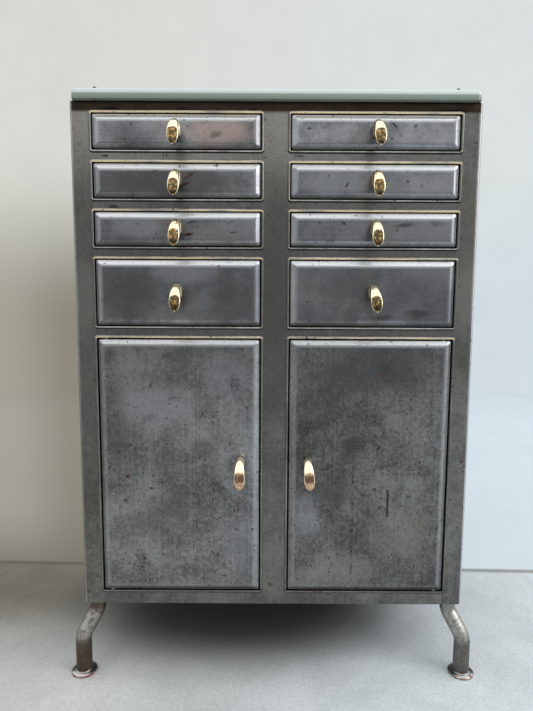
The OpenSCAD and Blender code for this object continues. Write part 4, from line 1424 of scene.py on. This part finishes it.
def painted_wall_light(f):
    """Painted light and shade of the wall: warm grey low at the left with a painted shadow by the cabinet,
    cool at the right, paler upwards.
    """
    away = f.minus(f.axis("Y"), frame_front - EYE_FROM_FRONT)
    sideways = f.over(f.axis("X"), away)
    rise = f.over(f.minus(f.axis("Z"), EYE_HEIGHT), away)
    left = f.mix(f.between(sideways, -0.50, -0.36), (0.375, 0.36, 0.30), (0.265, 0.25, 0.20))
    left = f.mix(f.between(rise, -0.40, -0.56), left, (0.20, 0.19, 0.155))
    low = f.mix(f.between(sideways, -0.36, 0.36), left, (0.66, 0.745, 0.80))
    high = f.mix(f.between(sideways, -0.5, 0.46), (0.71, 0.715, 0.67), (0.74, 0.785, 0.78))
    tint = f.mix(f.between(rise, -0.04, 0.28), low, high)
    tint = f.mix(f.between(f.noise(90, 16.0, 3, 0.7), 0.3, 0.7, 0.0, 0.05), tint, (0.3, 0.29, 0.27))
    return f.mix(f.between(f.noise(2.5, 6.0, 7, 0.7), 0.35, 0.65, 0.0, 0.07), tint, (0.3, 0.29, 0.27))


def wall_paint():
    """The backdrop: a painted glow of light and shade, pale to the eye, dim as a source of light."""
    f = Finish("pale_wall")
    rays = f.node("ShaderNodeLightPath").outputs
    seen = f.most(rays["Is Camera Ray"], rays["Is Transmission Ray"])
    f.set(Base_Color=f.mix(seen, (0.12, 0.12, 0.12), (0.0, 0.0, 0.0)), Roughness=1.0, Specular_IOR_Level=0.0)
    f.set(Emission_Color=painted_wall_light(f), Emission_Strength=seen)
    return f.material


def floor_paint():
    """Pale floor with painted shade at the left by the wall and a painted shadow under the cabinet, and the
    wall's foot painted behind the cabinet, where the floor also glows a little for the camera.
    """
    f = Finish("pale_floor")
    # Painted shade: darker at the back left by the wall, paler and cooler to the right.
    left = f.mix(f.between(f.axis("Y"), 0.10, -0.24), (0.26, 0.238, 0.19), (0.705, 0.71, 0.685))
    colour = f.mix(f.between(f.axis("X"), -0.62, 0.45), left, (0.765, 0.82, 0.845))
    # A painted shadow under and behind the cabinet.
    across = f.over(f.plus(f.axis("X"), 0.08), 0.40)
    along = f.over(f.minus(f.axis("Y"), 0.11), 0.32)
    away = f.length(across, along)
    painted_shade = f.between(away, 1.18, 0.5, 0.0, 0.91)
    clouds = f.between(f.noise(7, 2.0, 6, 0.65, 0.5), 0.3, 0.7, 0.82, 1.0)
    grit = f.between(f.noise(150, 4.0, 5, 0.75), 0.3, 0.7, 0.80, 1.0)
    sand = f.between(f.noise(520, 14.0, 2, 0.6), 0.3, 0.7, 0.86, 1.0)
    shades = f.times(f.times(clouds, grit), sand)
    colour = f.mix(f.minus(1.0, shades), colour, (0.0, 0.0, 0.0))
    colour = f.mix(painted_shade, colour, (0.05, 0.047, 0.041))

    behind = f.minus(f.plus(f.axis("Y"), f.times(f.axis("X"), WALL_SLANT)), WALL_FOOT)
    wall = f.between(behind, 0.0, 0.01)
    shaded = f.mix(f.between(f.axis("Y"), 0.3, 2.8, 0.6, 0.82), (0.0, 0.0, 0.0), painted_wall_light(f))
    colour = f.mix(wall, colour, shaded)
    # The dark line at the wall's foot is painted crevice shade.
    line = f.times(f.between(behind, -0.018, -0.008), f.between(behind, 0.008, 0.0))
    colour = f.mix(f.times(line, 0.6), colour, (0.12, 0.115, 0.10))
    # Behind the wall's foot the floor glows a little for the camera, as painted light.
    seen = f.node("ShaderNodeLightPath").outputs["Is Camera Ray"]
    f.set(Base_Color=colour, Roughness=0.8, Specular_IOR_Level=0.2)
    f.set(Emission_Color=painted_wall_light(f), Emission_Strength=f.times(f.times(seen, wall), 0.4))
    f.set(Normal=f.bump(f.noise(60, 2.0, 5, 0.6), 0.15, 1.0 * MM))
    return f.material


ROOM_HALF = 5.0
FLOOR_FRONT = -5.0
WALL_PLACE = 2.8
WALL_TOP = 4.0


def sheet_of_room(name, corners, paint):
    return new_piece(name, mesh_from(name, corners, [(0, 1, 2, 3)]), paint)


def room():
    """A pale floor, and a backdrop well behind the cabinet."""
    left, right = -ROOM_HALF, ROOM_HALF
    ground = ((left, FLOOR_FRONT), (right, FLOOR_FRONT), (right, WALL_PLACE), (left, WALL_PLACE))
    upright = ((left, 0), (right, 0), (right, WALL_TOP), (left, WALL_TOP))
    floor = sheet_of_room("room_floor", [(x, y, 0) for x, y in ground], floor_paint())
    wall = sheet_of_room("room_wall", [(x, WALL_PLACE, z) for x, z in upright], wall_paint())


def light_room():
    studio_world()
    room()
    soft_box(
        "window_light",
        place=(2.7, -1.5, 2.4),
        aim=(0.0, 0.0, 0.55),
        size=2.2,
        power=40.0,
        colour=(0.97, 0.99, 1.0),
    )
    bpy.context.scene.view_settings.view_transform = "Standard"


# ---- the cabinet ----


BARE_INNER = [
    "back_panel",
    "top_deck",
    "floor_sheet",
    "dust_sheets",
    "centre_partition",
    "runners_left",
    "runners_right",
    "shelf_left",
    "shelf_right",
    "shelf_cleats",
    "leg_gussets",
]
BARE_INNER += [f"drawer_{side}_{row}_box" for side in COLUMNS for row in ROWS]
BARE_INNER += [f"door_{side}_liner" for side in COLUMNS]
BARE_BRIGHT = ["hinge_lugs", "door_catches", "door_left_pins", "door_right_pins"]


def paint_bare(nodes, material):
    """Solids that are shown as they are, in their own material."""
    for node in nodes:
        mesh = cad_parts[node].data
        mesh.materials.clear()
        mesh.materials.append(material)


def dress_cabinet():
    """Every piece of the cabinet, drawn again or shown as its solid, with its material."""
    steels = make_steels()
    brass = cast_brass()
    for side in COLUMNS:
        soft_edged(f"side_panel_{side}", steels["side"], SIDE_EDGE, corner_highlight=CORNER_HIGHLIGHT[side])
        for row in ROWS:
            name = f"drawer_{side}_{row}"
            metal = steels[f"drawer_{side}"]
            pressed_front(name + "_pan", name + "_front", name, metal, 3 * row, drawer_highlights(row), 1.0)
            place_pull(name + "_pull", name, DRAWER_PULL, brass)
        name = f"door_{side}"
        pressed_front(name + "_pan", name + "_skin", name, steels[name], DOOR_SEED, DOOR_HIGHLIGHTS, 0.3)
        place_pull(name + "_pull", name, DOOR_PULL, brass)
    for node in ("stile_centre", "rail_top", "rail_bottom", "cross_rails"):
        soft_edged(node, steels["frame"], RAIL_EDGE)
    opening_beads(steels["bead"])
    glass_slab(slab_glass())
    cap_screws(steels["screw"])
    foot_discs(foot_steel())
    for end, side in CORNERS:
        leg_tube(end, side, steels[f"leg_{side}"])
    paint_bare(BARE_INNER, steels["inner"])
    paint_bare(BARE_BRIGHT, steels["bright"])


place_eye()
light_room()
dress_cabinet()
